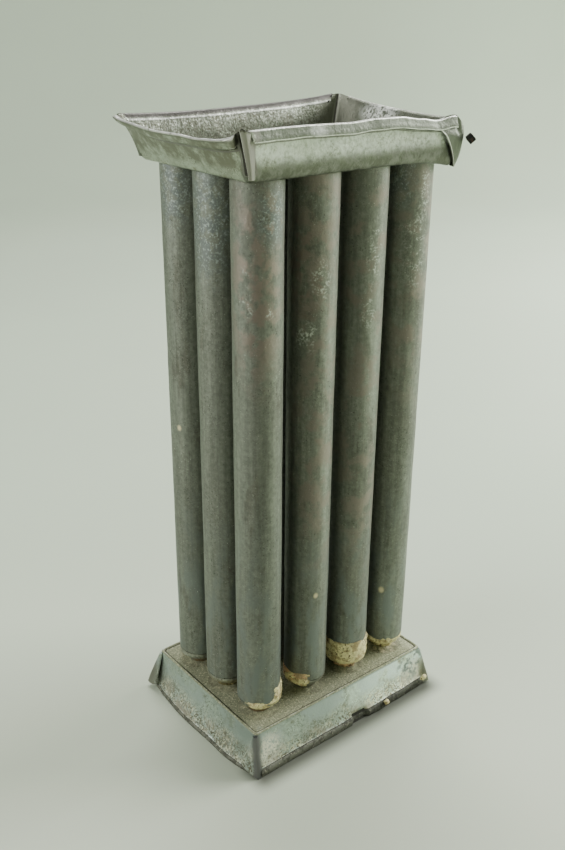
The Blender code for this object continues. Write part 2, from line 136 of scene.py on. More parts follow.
class Finish:
    """A surface built up in layers, each laid over the last through a mask; sizes are in millimetres."""

    def __init__(self, name, colour, roughness, metal):
        self.material = bpy.data.materials.new(name)
        self.material.use_nodes = True
        self.tree = self.material.node_tree
        self.place = vector(self.tree, 'SCALE', add(self.tree, "ShaderNodeTexCoord").outputs["Object"], 1 / MM)
        self.x, self.y, self.z = add(self.tree, "ShaderNodeSeparateXYZ", {0: self.place}).outputs
        self.colour = (*colour, 1.0)
        self.roughness = roughness
        self.metal = metal
        self.reliefs = []

    def between(self, value, low, high):
        """0 below low, 1 above high, soft in between; low may be the larger."""
        inputs = {"Value": value, "From Min": min(low, high), "From Max": max(low, high)}
        if low > high:
            inputs.update({"To Min": 1.0, "To Max": 0.0})
        return add(self.tree, "ShaderNodeMapRange", inputs, interpolation_type='SMOOTHSTEP').outputs[0]

    def blotches(self, size, low, high, seed, detail=4, upright=1.0):
        """Noise of about this size, as a mask from low to high; it is drawn out upright by a share under 1."""
        at = vector(self.tree, 'MULTIPLY', self.place, (1 / size, 1 / size, upright / size))
        at = vector(self.tree, 'ADD', at, (seed, seed * 0.7, -seed))
        made = add(self.tree, "ShaderNodeTexNoise", {"Vector": at, "Scale": 1.0, "Detail": detail, "Roughness": 0.6})
        return self.between(made.outputs[0], low, high)

    def crystals(self, size, seed):
        """Grains of tin, each with one random shade from 0 to 1."""
        at = vector(self.tree, 'ADD', self.place, (seed, seed, seed))
        made = add(self.tree, "ShaderNodeTexVoronoi", {"Vector": at, "Scale": 1 / size})
        return add(self.tree, "ShaderNodeSeparateColor", {0: made.outputs["Color"]}).outputs[0]

    def level(self, low, high):
        """Mask by height above the table."""
        return self.between(self.z, low, high)

    def near(self, spot, inner, outer, squash=1.0):
        """Mask round a spot: 1 within inner, 0 past outer; squash scales the heights, or each axis."""
        at = vector(self.tree, 'SUBTRACT', self.place, spot)
        at = vector(self.tree, 'MULTIPLY', at, squash if isinstance(squash, tuple) else (1, 1, squash))
        length = add(self.tree, "ShaderNodeVectorMath", {0: at}, operation='LENGTH').outputs["Value"]
        return self.between(length, outer, inner)

    def shaded_folds(self, reach):
        """Mask of folds and inner corners, found by ambient occlusion, for the painted shade that falls there, with
        some grime.
        """
        made = add(self.tree, "ShaderNodeAmbientOcclusion", {"Distance": reach * MM}, samples=8, only_local=True)
        return self.between(made.outputs["AO"], 0.75, 0.25)

    def wear_and_shading(self, low, high):
        """Mask from the marks kept on the mesh: 1 is a polished edge painted bright as lit, -1 is painted shade with
        some grime.
        """
        return self.between(add(self.tree, "ShaderNodeAttribute", attribute_name="wear_and_shading").outputs["Fac"], low, high)

    def both(self, masks, *others):
        """Masks multiplied; they can also come as one tuple."""
        first, *others = (*masks, *others) if isinstance(masks, tuple) else (masks, *others)
        for other in others:
            first = calc(self.tree, 'MULTIPLY', first, other)
        return first

    def mixed(self, mask, under, over):
        """A value laid over another through a mask."""
        return add(self.tree, "ShaderNodeMix", {0: mask, 2: under, 3: over}).outputs[0]

    def layer(self, masks, colour, roughness=None, metal=None):
        """Lay a colour, and a roughness and a metal value if given, over what is there."""
        mask = self.both(masks)
        mix = add(self.tree, "ShaderNodeMix", {0: mask, 6: self.colour, 7: (*colour, 1.0)}, data_type='RGBA')
        self.colour = mix.outputs[2]
        if roughness is not None:
            self.roughness = self.mixed(mask, self.roughness, roughness)
        if metal is not None:
            self.metal = self.mixed(mask, self.metal, metal)

    def coats(self, *rows):
        """Lay blotched layers in turn, each as (masks, the values of its blotches, what layer takes)."""
        for masks, values, *paint in rows:
            self.layer((self.both(masks), self.blotches(*values)), *paint)

    def shade(self, masks, dark, bright):
        """Multiply the colour by dark where the masks are 0 and by bright where they are 1."""
        inputs = {"Value": self.both(masks), "To Min": dark, "To Max": bright}
        base = self.colour if isinstance(self.colour, bpy.types.NodeSocket) else self.colour[:3]
        self.colour = vector(self.tree, 'SCALE', base, add(self.tree, "ShaderNodeMapRange", inputs).outputs[0])

    def grained(self, mask, amount):
        """Shade evenly to both sides."""
        self.shade(mask, 1 - amount, 1 + amount)

    def relief(self, mask, height):
        """Raise the mask by a height."""
        self.reliefs.append(calc(self.tree, 'MULTIPLY', mask, height * MM))

    def done(self):
        """Connect the shader and return the material."""
        shader = self.tree.nodes["Principled BSDF"]
        for key, value in (("Base Color", self.colour), ("Roughness", self.roughness), ("Metallic", self.metal)):
            if isinstance(value, bpy.types.NodeSocket):
                self.tree.links.new(value, shader.inputs[key])
            else:
                shader.inputs[key].default_value = value
        if self.reliefs:
            total = self.reliefs[0]
            for relief in self.reliefs[1:]:
                total = calc(self.tree, 'ADD', total, relief)
            bump = add(self.tree, "ShaderNodeBump", {"Height": total, "Distance": 1.0, "Strength": 1.0})
            self.tree.links.new(bump.outputs[0], shader.inputs["Normal"])
        return self.material


def tarnished(name, bare, dull, dark, seed, upright=1.0, gloss=0.38, grain=1.0):
    """Old tinplate: shiny tin under a dull bloom, smooth in places and crystalline or pitted in others."""
    tin = Finish(name, bare, gloss, 0.95)
    tin.layer(tin.blotches(24, 0.4, 0.64, seed, 4, upright), dull, gloss + 0.12, 0.8)
    tin.layer(tin.blotches(8, 0.54, 0.7, seed + 5, 4, upright), dark, gloss + 0.16, 0.7)
    tin.grained(tin.crystals(1.2, seed), 0.07 * grain)
    tin.grained(tin.blotches(2.6, 0.3, 0.7, seed + 9, 5), 0.15 * grain)
    tin.grained(tin.blotches(0.8, 0.3, 0.7, seed + 10, 3), 0.09 * grain)
    rough = tin.both(tin.blotches(10, 0.44, 0.58, seed + 41, 4, upright), grain)
    pitted, flecked = tin.blotches(11, 0.45, 0.6, seed + 17), tin.blotches(13, 0.5, 0.62, seed + 31)
    tin.coats((rough, (0.75, 0.56, 0.66, seed + 43, 3), [min(1.0, c * 1.45) for c in bare], gloss - 0.04),
              (rough, (0.75, 0.45, 0.36, seed + 44, 3), dark, gloss + 0.2),
              (pitted, (0.7, 0.62, 0.69, seed + 13, 2), [c * 0.35 for c in dark], 0.8, 0.3),
              ((flecked, grain), (0.9, 0.64, 0.71, seed + 29, 3), [min(1.0, c * 1.9) for c in bare], gloss, 0.5))
    # Painted shade, with some grime, in the folds and inner corners.
    tin.layer(tin.shaded_folds(2.5), [c * 0.22 for c in dark], 0.8, 0.2)
    tin.relief(tin.blotches(0.9, 0.3, 0.7, seed + 21), 0.03 * grain)
    tin.relief(tin.blotches(4.5, 0.3, 0.7, seed + 23, 3), 0.1)
    return tin


def closeness(corner, spread):
    """1 at a corner of a pan, 0 on the two sides that don't touch it."""
    return (1 + corner[0] * spread[0]) / 2 * (1 + corner[1] * spread[1]) / 2


class Pan:
    """The folded sheet of a base or a tray: where its wall lies at each place round it and each height.

    Its sizes are half the flat, the walls' height, the corners' radius, the rise at which the walls lean, their
    flare and, by side, their bow. Level and up place it; spans are the hems' ends, slant and thinning, by side.
    """

    sag, rims, lift, splay, skew = {}, {}, {}, {}, {}
    droop, dip, torn = 0.0, 0.0, ()

    def __init__(self, **sizes):
        for key, value in sizes.items():
            setattr(self, key, value)

    def on_side(self, side, along):
        """A station on a side; along runs from -1 to 1 with X or Y."""
        nx, ny = SIDES[side]
        x = nx * self.half[0] if nx else along * (self.half[0] - self.corner)
        y = ny * self.half[1] if ny else along * (self.half[1] - self.corner)
        return x, y, (nx if nx else along, ny if ny else along), (nx, ny), side, along

    def on_corner(self, sx, sy, turn):
        """A station on a corner's arc; turn runs from 0 at the front or back to 1 at the left or right."""
        angle = turn * math.pi / 2
        normal = (sx * math.sin(angle), sy * math.cos(angle))
        x = sx * (self.half[0] - self.corner) + self.corner * normal[0]
        y = sy * (self.half[1] - self.corner) + self.corner * normal[1]
        return x, y, (sx, sy), normal, "left" if sx < 0 else "right", sy

    def mixed(self, corners, spread):
        """Blend of the four corners' values."""
        return sum(amount * closeness(corner, spread) for corner, amount in corners.items())

    def rim(self, side, along):
        """How far the rim stands above or below a straight line between its corners."""
        marks = self.rims.get(side, [(1, 0.0)])
        for (left, a), (right, b) in zip(marks, marks[1:]):
            if along <= right:
                return a + (b - a) * eased((along - left) / (right - left))
        return marks[-1][1]

    def point(self, station, outset, rise):
        """Point at a rise above the flat, moved outwards from the wall's outer face."""
        x, y, spread, normal, side, along = station
        part = clamp((rise - self.bend) / (self.height - self.bend), 0.0, 1.2)
        middle = 1 - min(abs(along), 1.0) ** 3
        splay = self.mixed(self.splay, spread)
        bow = self.bow[side] * middle * part ** 1.3
        opened = part ** 1.25
        x += ((self.flare[0] + splay) * opened + outset) * spread[0] + bow * normal[0]
        y += ((self.flare[1] + splay) * opened + outset) * spread[1] + bow * normal[1]
        lift = self.mixed(self.lift, spread) + self.rim(side, along) - self.sag.get(side, 0.0) * middle
        z = rise + lift * part
        close = closeness((1, -1), spread)
        z -= self.droop * close ** 8 * (1 - min(part, 1.0)) * clamp(1 + outset / 4.0)
        z -= self.dip * close ** 60 * max(part - 0.5, 0.0) * 2
        spot = Vector((x, y, z)) + Vector((self.seed, 0, 0))
        dent = (noise.noise(spot / 19) * 0.5 + noise.noise(spot / 7) * 0.14 - 0.2) * min(part * 2, 1.0)
        for corner, push in self.skew.items():
            close = closeness(corner, spread) ** 10 * part
            x += push[0] * close
            y += push[1] * close
        x += dent * normal[0]
        y += dent * normal[1]
        return Vector((MIDDLE[0] + x, MIDDLE[1] + y, self.level + self.up * z))

    def stations(self, step=1.6):
        """Stations all round, anticlockwise from the front side's left end, close together at a hem's ends."""
        found = []
        plan = (("front", 1, (1, -1)), ("right", 1, (1, 1)), ("back", -1, (-1, 1)), ("left", -1, (-1, -1)))
        for side, sense, (sx, sy) in plan:
            length = self.half[0 if SIDES[side][1] else 1]
            count = round(2 * length / step)
            places = [2 * k / count - 1 for k in range(count + 1)]
            start, end = self.spans[side][:2]
            for cut, inward in ((start, 1), (end, -1)):
                places = [place for place in places if abs(place - cut) * length > 4.5 or abs(place) == 1]
                fine = [cut + inward * k * 0.25 / length for k in range(-6, 20)]
                places += [place for place in fine if abs(place) < 1]
            for torn_side, first, last in self.torn:
                if torn_side == side:
                    places += [first + (last - first) * k / 16 for k in range(-2, 19)]
            for place in sorted(places, reverse=sense < 0):
                found.append(self.on_side(side, place))
            for k in range(1, 6):
                turn = k / 6 if side in ("front", "back") else 1 - k / 6
                found.append(self.on_corner(sx, sy, turn))
        return found


def mesh_piece(name, vertices, faces, material, slot, nodes=(), worn_and_shaded=()):
    """A finished object from points in millimetres, riding on the mould's one body, with its marks of polish and
    painted shading kept on it.
    """
    mesh = plain_mesh(name, [v * MM for v in vertices], faces)
    finish_piece(name, mesh, material, nodes)
    if worn_and_shaded:
        spots = KDTree(len(worn_and_shaded))
        for k, (spot, value) in enumerate(worn_and_shaded):
            spots.insert(spot, k)
        spots.balance()
        kept = mesh.attributes.new("wear_and_shading", 'FLOAT', 'POINT')
        for k, vertex in enumerate(mesh.vertices):
            spot, nearest, distance = spots.find(vertex.co / MM)
            kept.data[k].value = worn_and_shaded[nearest][1] if distance < 0.02 else 0.0


def finish_piece(name, mesh, material, nodes=()):
    """Close a mesh's seams, turn its faces outwards, shade it, and hand it to the frame."""
    work = bmesh.new()
    work.from_mesh(mesh)
    bmesh.ops.remove_doubles(work, verts=work.verts, dist=0.002 * MM)
    bmesh.ops.recalc_face_normals(work, faces=work.faces)
    work.to_mesh(mesh)
    work.free()
    mesh.materials.clear()
    mesh.materials.append(material)
    mesh.shade_smooth()
    mesh.set_sharp_from_angle(angle=math.radians(SHARP_ANGLE))
    piece = placed(name, mesh)
    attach(piece, "root")
    if nodes:
        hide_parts(*nodes)


def skin(rings):
    """Points and faces between rings of equal length, each a closed loop, with capped ends."""
    count = len(rings[0])
    faces = []
    for row in range(len(rings) - 1):
        here, after = row * count, (row + 1) * count
        for k in range(count):
            step = (k + 1) % count
            faces.append((here + k, here + step, after + step, after + k))
    faces.append(tuple(range(count)))
    faces.append(tuple(range((len(rings) - 1) * count, len(rings) * count)))
    return [point for ring in rings for point in ring], faces


def flat_hem(top, length, lean):
    """An edge folded over sharply and pressed flat, as rows of (outset, rise, depth down the hem, mark).

    The first list runs up the wall's outside and round the hem, the second from the fold down the inside.
    Marks below 0 are painted shade, with some grime, on the wall under the hem and inside it; marks above 0
    are painted highlights, with some polish, on its fold and free edge.
    """
    end = top - length
    outside = [
        (0.0, end - 1.3, 0.0, 0), (0.0, end - 0.7, 0.0, -0.35), (0.0, end - 0.2, 0.0, -0.85),
        (0.0, end + 0.9, 0.0, -1), (0.0, top - 1.25, 0.0, -1), (0.2, top - 1.0, 0.05, -1), (0.5, top - 1.2, 0.1, -1),
        ((0.55 + lean) / 2, top - length * 0.55, 0.55, -1), (lean, end + 0.25, 0.95, -0.7),
        (lean + 0.1, end + 0.03, 1.0, 0.6), (lean + 0.3, end, 1.0, 1), (lean + 0.48, end + 0.15, 1.0, 1),
        (lean + 0.5, end + 0.5, 0.9, 0.2), ((1.55 + lean) / 2, top - length * 0.55, 0.55, 0.2),
        (1.12, top - 1.3, 0.25, 0.2), (1.02, top - 0.6, 0.1, 0.3), (0.85, top - 0.22, 0.02, 1),
        (0.5, top - 0.02, 0.0, 1),
    ]
    inside = [(0.1, top - 0.05, 0.0, 0.7), (-0.25, top - 0.3, 0.0, 0.2), (-0.45, top - 0.8, 0.0, 0),
              (-0.56, top - 1.5, 0.0, 0), (-SHEET, top - 2.6, 0.0, 0)]
    return outside, inside


def rolled_hem(top, length, lean, painted_streak=False):
    """An edge bent over softly, with its free edge hanging clear of the wall, as rows like those of a flat hem.

    With the last argument set, the inside of the bend gets a band painted bright as a reflection of the light, under
    one painted dark as a reflection of the dark.
    """
    end = top - length
    outside = [
        (0.0, end - 2.2, 0.0, 0), (0.0, end - 1.2, 0.0, -0.4), (0.0, end - 0.4, 0.0, -0.85),
        (0.0, end + 0.6, 0.0, -1), (0.0, top - 3.4, 0.0, -1), (0.15, top - 2.6, 0.05, -1),
        (0.6, top - 1.75, 0.1, -1), (1.25, top - 1.35, 0.3, -1),
        (lean, end + 0.3, 0.95, -0.8), (lean + 0.08, end + 0.03, 1.0, 0.3), (lean + 0.3, end, 1.0, 0.5),
        (lean + 0.5, end + 0.2, 1.0, 0.2), (lean + 0.65, end + 0.8, 0.9, -0.1), (2.45, top - length * 0.6, 0.6, 0),
        (2.45, top - length * 0.33, 0.35, 0.1), (2.2, top - 0.75, 0.15, 0.6), (1.75, top - 0.28, 0.05, 1),
        (1.2, top - 0.02, 0.0, 1),
    ]
    inside = [(0.6, top - 0.12, 0.0, 0.5), (0.1, top - 0.55, 0.0, 0), (-0.25, top - 1.3, 0.0, 0),
              (-0.5, top - 2.4, 0.0, 0), (-SHEET, top - 3.8, 0.0, 0)]
    if painted_streak:
        outside[-2:] = [(1.75, top - 0.28, 0.05, 0), (1.2, top - 0.02, 0.0, -0.4)]
        inside = [(0.6, top - 0.12, 0.0, -0.42), (0.1, top - 0.6, 0.0, -0.42), (-0.25, top - 1.7, 0.0, -0.3),
                  (-0.45, top - 2.4, 0.0, 1), (-SHEET, top - 3.6, 0.0, 0)]
    return outside, inside


def rolled_foot(lit, bulge):
    """The base's lower edge: a polished bend painted bright as lit, then a seam and a band down to the table painted in
    shade, with some grime.
    """
    low = BASE_HEIGHT
    outside = [(0.0, lit - 1.0, 0.1, 0), (0.06, lit - 0.5, 0.2, 0), (0.22, lit - 0.2, 0.3, 0.6), (0.34, lit, 0.4, 1),
               (0.16, lit + 0.16, 0.5, -1), (0.12, lit + 0.3, 0.6, -0.9), (bulge * 0.6, lit + 0.6, 0.8, -0.3),
               (bulge, low - (low - lit) * 0.6, 1.0, -0.3), (bulge * 0.95, low - (low - lit) * 0.35, 1.0, -0.36),
               (bulge * 0.6, low - 0.3, 1.0, -0.6), (bulge * 0.2, low, 1.0, -1)]
    inside = [(-0.4, low, 0.0, -1), (-0.75, low - 0.7, 0.0, -1), (-0.75, low - 1.7, 0.0, -1),
              (-0.7, lit, 0.0, -1), (-0.6, 16.0, 0.0, -1)]
    return outside, inside


def sheet_pan(pan, bottom, levels, hems, back, shaded_corners=()):
    """Sweep the sheet's section round a pan; returns its rings, and every point with its mark: polish and painted light
    above 0, painted shade below.

    Each side has its own hem on its span and a plain edge beyond. Bottom and back are rows of the flat, with
    their marks; the corners in the last argument have their fold painted dark as shade, as (corner, side of the
    sheet, narrowness).
    """
    stations = pan.stations()
    edge = pan.height - 0.3
    count_out, count_in = len(hems["left"][0]), len(hems["left"][1])
    rows = [("flat", row) for row in bottom] + [("flat", (0.0, level, 0)) for level in levels]
    rows += [("out", k) for k in range(count_out)] + [("in", k) for k in range(count_in)]
    rows += [("flat", (-SHEET, level, 0)) for level in reversed(levels)] + [("flat", row) for row in back]
    rings, worn_and_shaded = [], []
    for kind, row in rows:
        ring = []
        for station in stations:
            if kind == "flat":
                outset, rise, wear_and_shading = row
                share = 1.0
            else:
                outside, inside = hems[station[4]]
                outset, rise, depth, wear_and_shading = (outside if kind == "out" else inside)[row]
                low, deep = outside[0][1], inside[-1][1]
                if kind == "out":
                    plain = (0.0, low + (edge - low) * row / (count_out - 1))
                else:
                    plain = (-SHEET, edge - (edge - deep) * row / (count_in - 1))
                share, full = hem_share(pan, station, depth)
                bite = torn_share(pan, station) * min(depth * 3, 1.0)
                outset -= 1.5 * bite
                # A torn place is painted darker, as shade in the tear.
                wear_and_shading = wear_and_shading * (1 - bite) - bite * 0.5
                outset = plain[0] + (outset - plain[0]) * share
                rise = plain[1] + (pan.height - (pan.height - rise) * full - plain[1]) * share
            wear_and_shading *= share
            # Painted shade along the fold at the listed corners.
            for corner, face, narrow in shaded_corners:
                if (outset > -0.3) == (face == "outside"):
                    close = closeness(corner, station[2]) ** narrow
                    if face == "inside":
                        close *= abs(2 * station[3][0] * station[3][1]) ** 12
                    wear_and_shading = max(wear_and_shading - 1.3 * close, -1)
            ring.append(pan.point(station, outset, rise))
            worn_and_shaded.append((ring[-1], wear_and_shading))
        rings.append(ring)
    return rings, worn_and_shaded


def torn_share(pan, station):
    """1 in the middle of a torn place of the edge, 0 away from it."""
    for side, start, end in pan.torn:
        if station[4] == side and start < station[5] < end:
            return eased(min(station[5] - start, end - station[5]) / (end - start) * 5)
    return 0.0


def hem_share(pan, station, depth):
    """How much of the hem there is at a station, from 0 past its ragged ends to 1, and how deep it is folded."""
    side, along = station[4], station[5]
    if SIDES[side] != station[3]:
        return 0.0, 1.0
    start, end, slant, thin = pan.spans[side]
    half = pan.half[0 if SIDES[side][1] else 1]
    nick = 0.15 * noise.noise(Vector((depth * 4, along * 3, pan.seed)))
    from_start = (along - start) * half - slant * depth + nick
    to_end = (end - along) * half + nick
    from_thin = end - along if thin > 0 else along - start
    full = 1 - abs(thin) * max(1 - from_thin * half / 22, 0.0) ** 0.7
    full += 0.09 * noise.noise(Vector((along * 5, pan.seed, 3)))
    return eased(min(from_start, to_end) / 0.6), full


def ear(pan, side, end, free, wrap, stand, foot, top, fall=(0.0, 1.0), settle=0.5, tuck=None, lip=0.6, slope=0.0):
    """The spare metal of a corner, bent round it and laid against a side; returns a shell and its marks.

    Free is how far past the bend its free edge lies, at the foot and at the top; wrap is how far it starts before
    the bend. Stand is how far it springs off the corner at its foot, middle and top, and settle the share of its
    width in which it does. Fall drops its top before the bend, as (millimetres per millimetre, power), and slope
    drops it towards the free edge. Tuck is the rise above which it stays under the side's hem.
    """
    nx, ny = SIDES[side]
    sx, sy = (nx, end) if nx else (end, ny)
    neighbour = {-1: "front", 1: "back"}[end] if nx else {-1: "left", 1: "right"}[end]
    reach = pan.half[1 if nx else 0] - pan.corner
    beside_reach = pan.half[0 if nx else 1] - pan.corner
    arc = pan.corner * math.pi / 2

    def station(distance):
        if distance < -arc / 2:
            return pan.on_side(neighbour, (nx if nx else ny) * (1 + (distance + arc / 2) / beside_reach))
        if distance > arc / 2:
            return pan.on_side(side, end * (1 - (distance - arc / 2) / reach))
        turn = (distance + arc / 2) / arc
        return pan.on_corner(sx, sy, turn if nx else 1 - turn)

    levels, across = 18, 30
    rings, worn_and_shaded = [], []
    for j in range(levels + 1):
        share = j / levels
        last = arc / 2 + free[0] + (free[1] - free[0]) * share
        first = -arc / 2 - pan.corner * 0.2 - wrap * share
        off = stand[0] * (1 - share) ** 2 + 2 * stand[1] * share * (1 - share) + stand[2] * share ** 2
        outer, inner = [], []
        for k in range(across + 1):
            t = k / across
            distance = first + (last - first) * t
            lip_rise = top - fall[0] * max(arc * 0.2 - distance, 0.0) ** fall[1]
            lip_rise -= 1.5 * max(4 * t - 3, 0.0) ** 2
            rise = foot + (lip_rise - slope * clamp(distance / max(*free, 0.1)) - foot) * share
            out = -0.1 + eased(t / settle) * (EAR_SHEET + 0.3 + off) - off * 0.3 * max(t - 0.6, 0.0) / 0.4
            if tuck:
                under = clamp((rise - tuck + 1.0) / 3.0) * clamp((distance - 2.4) / 1.4)
                out += (min(out, 0.75) - out) * under
            outer.append(pan.point(station(distance), out, rise))
            inner.append(pan.point(station(distance), out - EAR_SHEET, rise))
            # The free edge is painted bright as lit and polished, the top edge takes the lip's mark, the inner face is
            # painted shade.
            polish_and_light_mark = 1.0 if k == across else lip if j == levels else 0.2
            worn_and_shaded += [(outer[-1], polish_and_light_mark), (inner[-1], -1.0)]
        rings.append(outer + inner[::-1])
    return skin(rings), worn_and_shaded


def joined(parts):
    """Several shells as one list of points and faces."""
    vertices, faces = [], []
    for points, loops in parts:
        shift = len(vertices)
        vertices += points
        faces += [tuple(k + shift for k in loop) for loop in loops]
    return vertices, faces


def pierced(vertices, faces, radius, low, high):
    """A pan's mesh with its twelve round holes cut out of the flat."""
    mesh = plain_mesh("sheet", vertices, faces)
    work = bmesh.new()
    work.from_mesh(mesh)
    bmesh.ops.recalc_face_normals(work, faces=work.faces)
    work.to_mesh(mesh)
    work.clear()
    for x, y in TUBES.values():
        made = bmesh.ops.create_cone(work, cap_ends=True, segments=48, radius1=radius, radius2=radius,
                                     depth=high - low)
        bmesh.ops.translate(work, verts=made["verts"], vec=(x, y, (low + high) / 2))
    punches = bpy.data.meshes.new("punch")
    work.to_mesh(punches)
    work.free()
    sheet, punch = placed("sheet", mesh), placed("punch", punches)
    cut = sheet.modifiers.new("holes", 'BOOLEAN')
    cut.operation = 'DIFFERENCE'
    cut.solver = 'EXACT'
    cut.object = punch
    done = settled(sheet)
    for item in (sheet, punch):
        bpy.data.objects.remove(item, do_unlink=True)
    return [vertex.co.copy() for vertex in done.vertices], [tuple(face.vertices) for face in done.polygons]


base = Pan(half=(52.4, 39.45), height=BASE_HEIGHT, corner=1.4, bend=SHEET, flare=(2.6, 3.2),
           bow={"left": 3.0, "front": 0.8, "right": 0.6, "back": 0.8}, level=BASE_HEIGHT, up=-1, seed=11.0,
           spans={side: (-0.99, 0.99, 0.0, 0.0) for side in SIDES}, torn=[("front", 0.06, 0.275)],
           skew={(-1, -1): (1.3, -0.8)})
crease = [(-2.0, 0.0, 0), (-1.6, 0.12, -0.7), (-1.35, 0.1, -1), (-1.1, -0.1, -0.5), (-0.85, -0.33, 0.2),
          (-0.55, -0.45, 0.9), (-0.28, -0.36, 0.5), (-0.06, -0.1, 0), (0.0, 0.4, 0)]
walls = [0.9 + k * 1.25 for k in range(12)]
edges = {"front": rolled_foot(17.35, 1.0), "left": rolled_foot(19.2, 0.5), "right": rolled_foot(17.6, 1.0),
         "back": rolled_foot(17.6, 1.0)}
rings, worn_and_shaded = sheet_pan(base, crease, walls, edges, [(-SHEET, SHEET * 1.6, -1), (-2.9, SHEET, -1)])
folded = [pierced(*skin(rings), NECK_HOLE, BASE_HEIGHT - 3, BASE_HEIGHT + 3)]
for side, end, free, wrap, spring, top, slope in (
        ("left", -1, 8.5, 3.4, 0.5, 21.45, 21.45 - 19.0), ("left", 1, 4.6, 1.6, 2.8, 19.0, 0.0),
        ("right", -1, 4.6, 1.6, 1.8, 20.5, 0.5), ("right", 1, 4.6, 1.6, 1.0, 20.5, 0.5)):
    flap, marks = ear(base, side, end, (0.5, free), wrap, (0.0, 0.8 * spring, spring), 1.2, top, slope=slope)
    folded.append(flap)
    worn_and_shaded += marks
tin = tarnished("base tin", (0.385, 0.455, 0.40), (0.27, 0.315, 0.26), (0.16, 0.165, 0.12), 2.0)
skirt = tin.both(tin.between(tin.y, -38, -40), tin.level(21, 20))
lower = tin.level(15.5, 4.5)
tin.coats((tin.level(9, 15), (15, 0.42, 0.56, 60), (0.345, 0.41, 0.39), 0.32, 0.9),
          ((lower, tin.blotches(8, 0.38, 0.58, 8)), (1.3, 0.42, 0.6, 15, 5, 0.6), (0.58, 0.60, 0.42), 0.75, 0.1),
          ((lower, tin.blotches(9, 0.3, 0.5, 70)), (1.0, 0.47, 0.58, 72, 5), (0.11, 0.105, 0.065), 0.75, 0.2),
          (tin.level(12, 3), (12, 0.46, 0.6, 74), (0.27, 0.26, 0.19), 0.7, 0.3))
# Painted light: the front skirt is made brighter, most of all towards the right.
tin.shade(skirt, 1.0, 1.12)
tin.shade((skirt, tin.between(tin.x, -20, 45)), 1.0, 2.1)
for spot, reach in (((50, -43, 9), 14), ((-45, -42, 12), 12)):
    cream = (tin.near(spot, 3, reach, 1.2), tin.blotches(3, 0.32, 0.5, 76), tin.blotches(0.9, 0.36, 0.5, 77))
    tin.layer(cream, (0.74, 0.74, 0.58), 0.8, 0.1)
tin.coats((tin.near((47, -41, 16), 4, 13), (3.5, 0.46, 0.6, 78, 6), (0.22, 0.27, 0.24), 0.6, 0.5))
# Both ears are painted darker, as shade on faces turned from the light.
tin.layer(tin.near((57.5, -43, 9), 2, 6, 0.4), (0.20, 0.205, 0.16), 0.6, 0.5)
tin.layer(tin.near((-57, 43.5, 9), 3, 11, 0.7), (0.135, 0.14, 0.105), 0.6, 0.5)
for spot in ((-50.9, -40.5, 17), (-51.9, -42.3, 9), (-52.6, -43.7, 1)):
    tin.layer(tin.near(spot, 1, 4, 0.3), (0.145, 0.145, 0.142), 0.46, 0.8)
# Painted shade, with some grime, on the rolled-in band along the table and in the seam above it: mottled dark, darkest
# in the middle of the front, near black in the seam.
under = tin.both(tin.wear_and_shading(-0.1, -0.28), tin.level(5.2, 4.4))
tin.layer(under, (0.15, 0.155, 0.12), 0.6, 0.5)
tin.coats((under, (2.2, 0.46, 0.6, 18, 5), (0.075, 0.075, 0.055), 0.7, 0.3),
          (under, (1.2, 0.58, 0.68, 19, 5), (0.32, 0.31, 0.23), 0.7, 0.3))
tin.shade((under, tin.between(tin.x, -25, 25)), 1.0, 0.55)
tin.layer((tin.wear_and_shading(-0.45, -0.9), tin.level(5.2, 4.4)), (0.03, 0.03, 0.022), 0.8, 0.2)
plate = tin.level(21.1, 21.4)
dust = tin.both(plate, tin.blotches(10, 0.1, 0.34, 3))
tin.layer(dust, (0.25, 0.265, 0.165), 0.85, 0.15)
tin.coats((dust, (0.9, 0.52, 0.62, 24), (0.44, 0.45, 0.29), 0.9, 0.0),
          (dust, (0.7, 0.56, 0.66, 26), (0.09, 0.09, 0.05), 0.9, 0.0))
tin.shade((plate, tin.between(tin.x, 0, 45)), 1.0, 1.35)
# Painted shade in the crease round the plate and on the plate's underside.
tin.layer((tin.wear_and_shading(-0.4, -0.9), tin.level(20.0, 20.8)), (0.045, 0.045, 0.03), 0.8, 0.2)
# Polished edges, painted bright as lit.
tin.coats((tin.wear_and_shading(0.35, 0.95), (4, 0.46, 0.66, 33), (0.60, 0.64, 0.53), 0.4, 0.7))
mesh_piece("base", *joined(folded), tin.done(), "base_tin", ["base_pan"], worn_and_shaded)

# The candle tips. Each is a small cup spun from tin: a sleeve soldered up inside the tube's foot, a round
# shoulder that shapes the top of the candle, and a neck through the base with a hole for the wick.
SPUN_SIDES = 56
CURVE_REACH = 24.0               # no radius or height of a spun profile is larger


def bent_grid(name, columns, rows):
    """A tree that starts from a flat grid; returns it, its inputs, the grid, and its way across and up it."""
    tree = bpy.data.node_groups.new(name, 'GeometryNodeTree')
    for key, kind in (("Place", 'NodeSocketVector'), ("Seed", 'NodeSocketFloat'), ("Turn", 'NodeSocketFloat')):
        tree.interface.new_socket(key, in_out='INPUT', socket_type=kind)
    tree.interface.new_socket("Geometry", in_out='OUTPUT', socket_type='NodeSocketGeometry')
    inputs = add(tree, "NodeGroupInput").outputs
    sizes = {"Size X": 1.0, "Size Y": 1.0, "Vertices X": columns, "Vertices Y": rows}
    grid = add(tree, "GeometryNodeMeshGrid", sizes).outputs[0]
    spot = add(tree, "ShaderNodeSeparateXYZ", {0: add(tree, "GeometryNodeInputPosition").outputs[0]}).outputs
    return tree, inputs, grid, spot[0], calc(tree, 'ADD', spot[1], 0.5)


def combined(tree, *values):
    """A vector from three numbers."""
    return add(tree, "ShaderNodeCombineXYZ", dict(enumerate(values))).outputs[0]


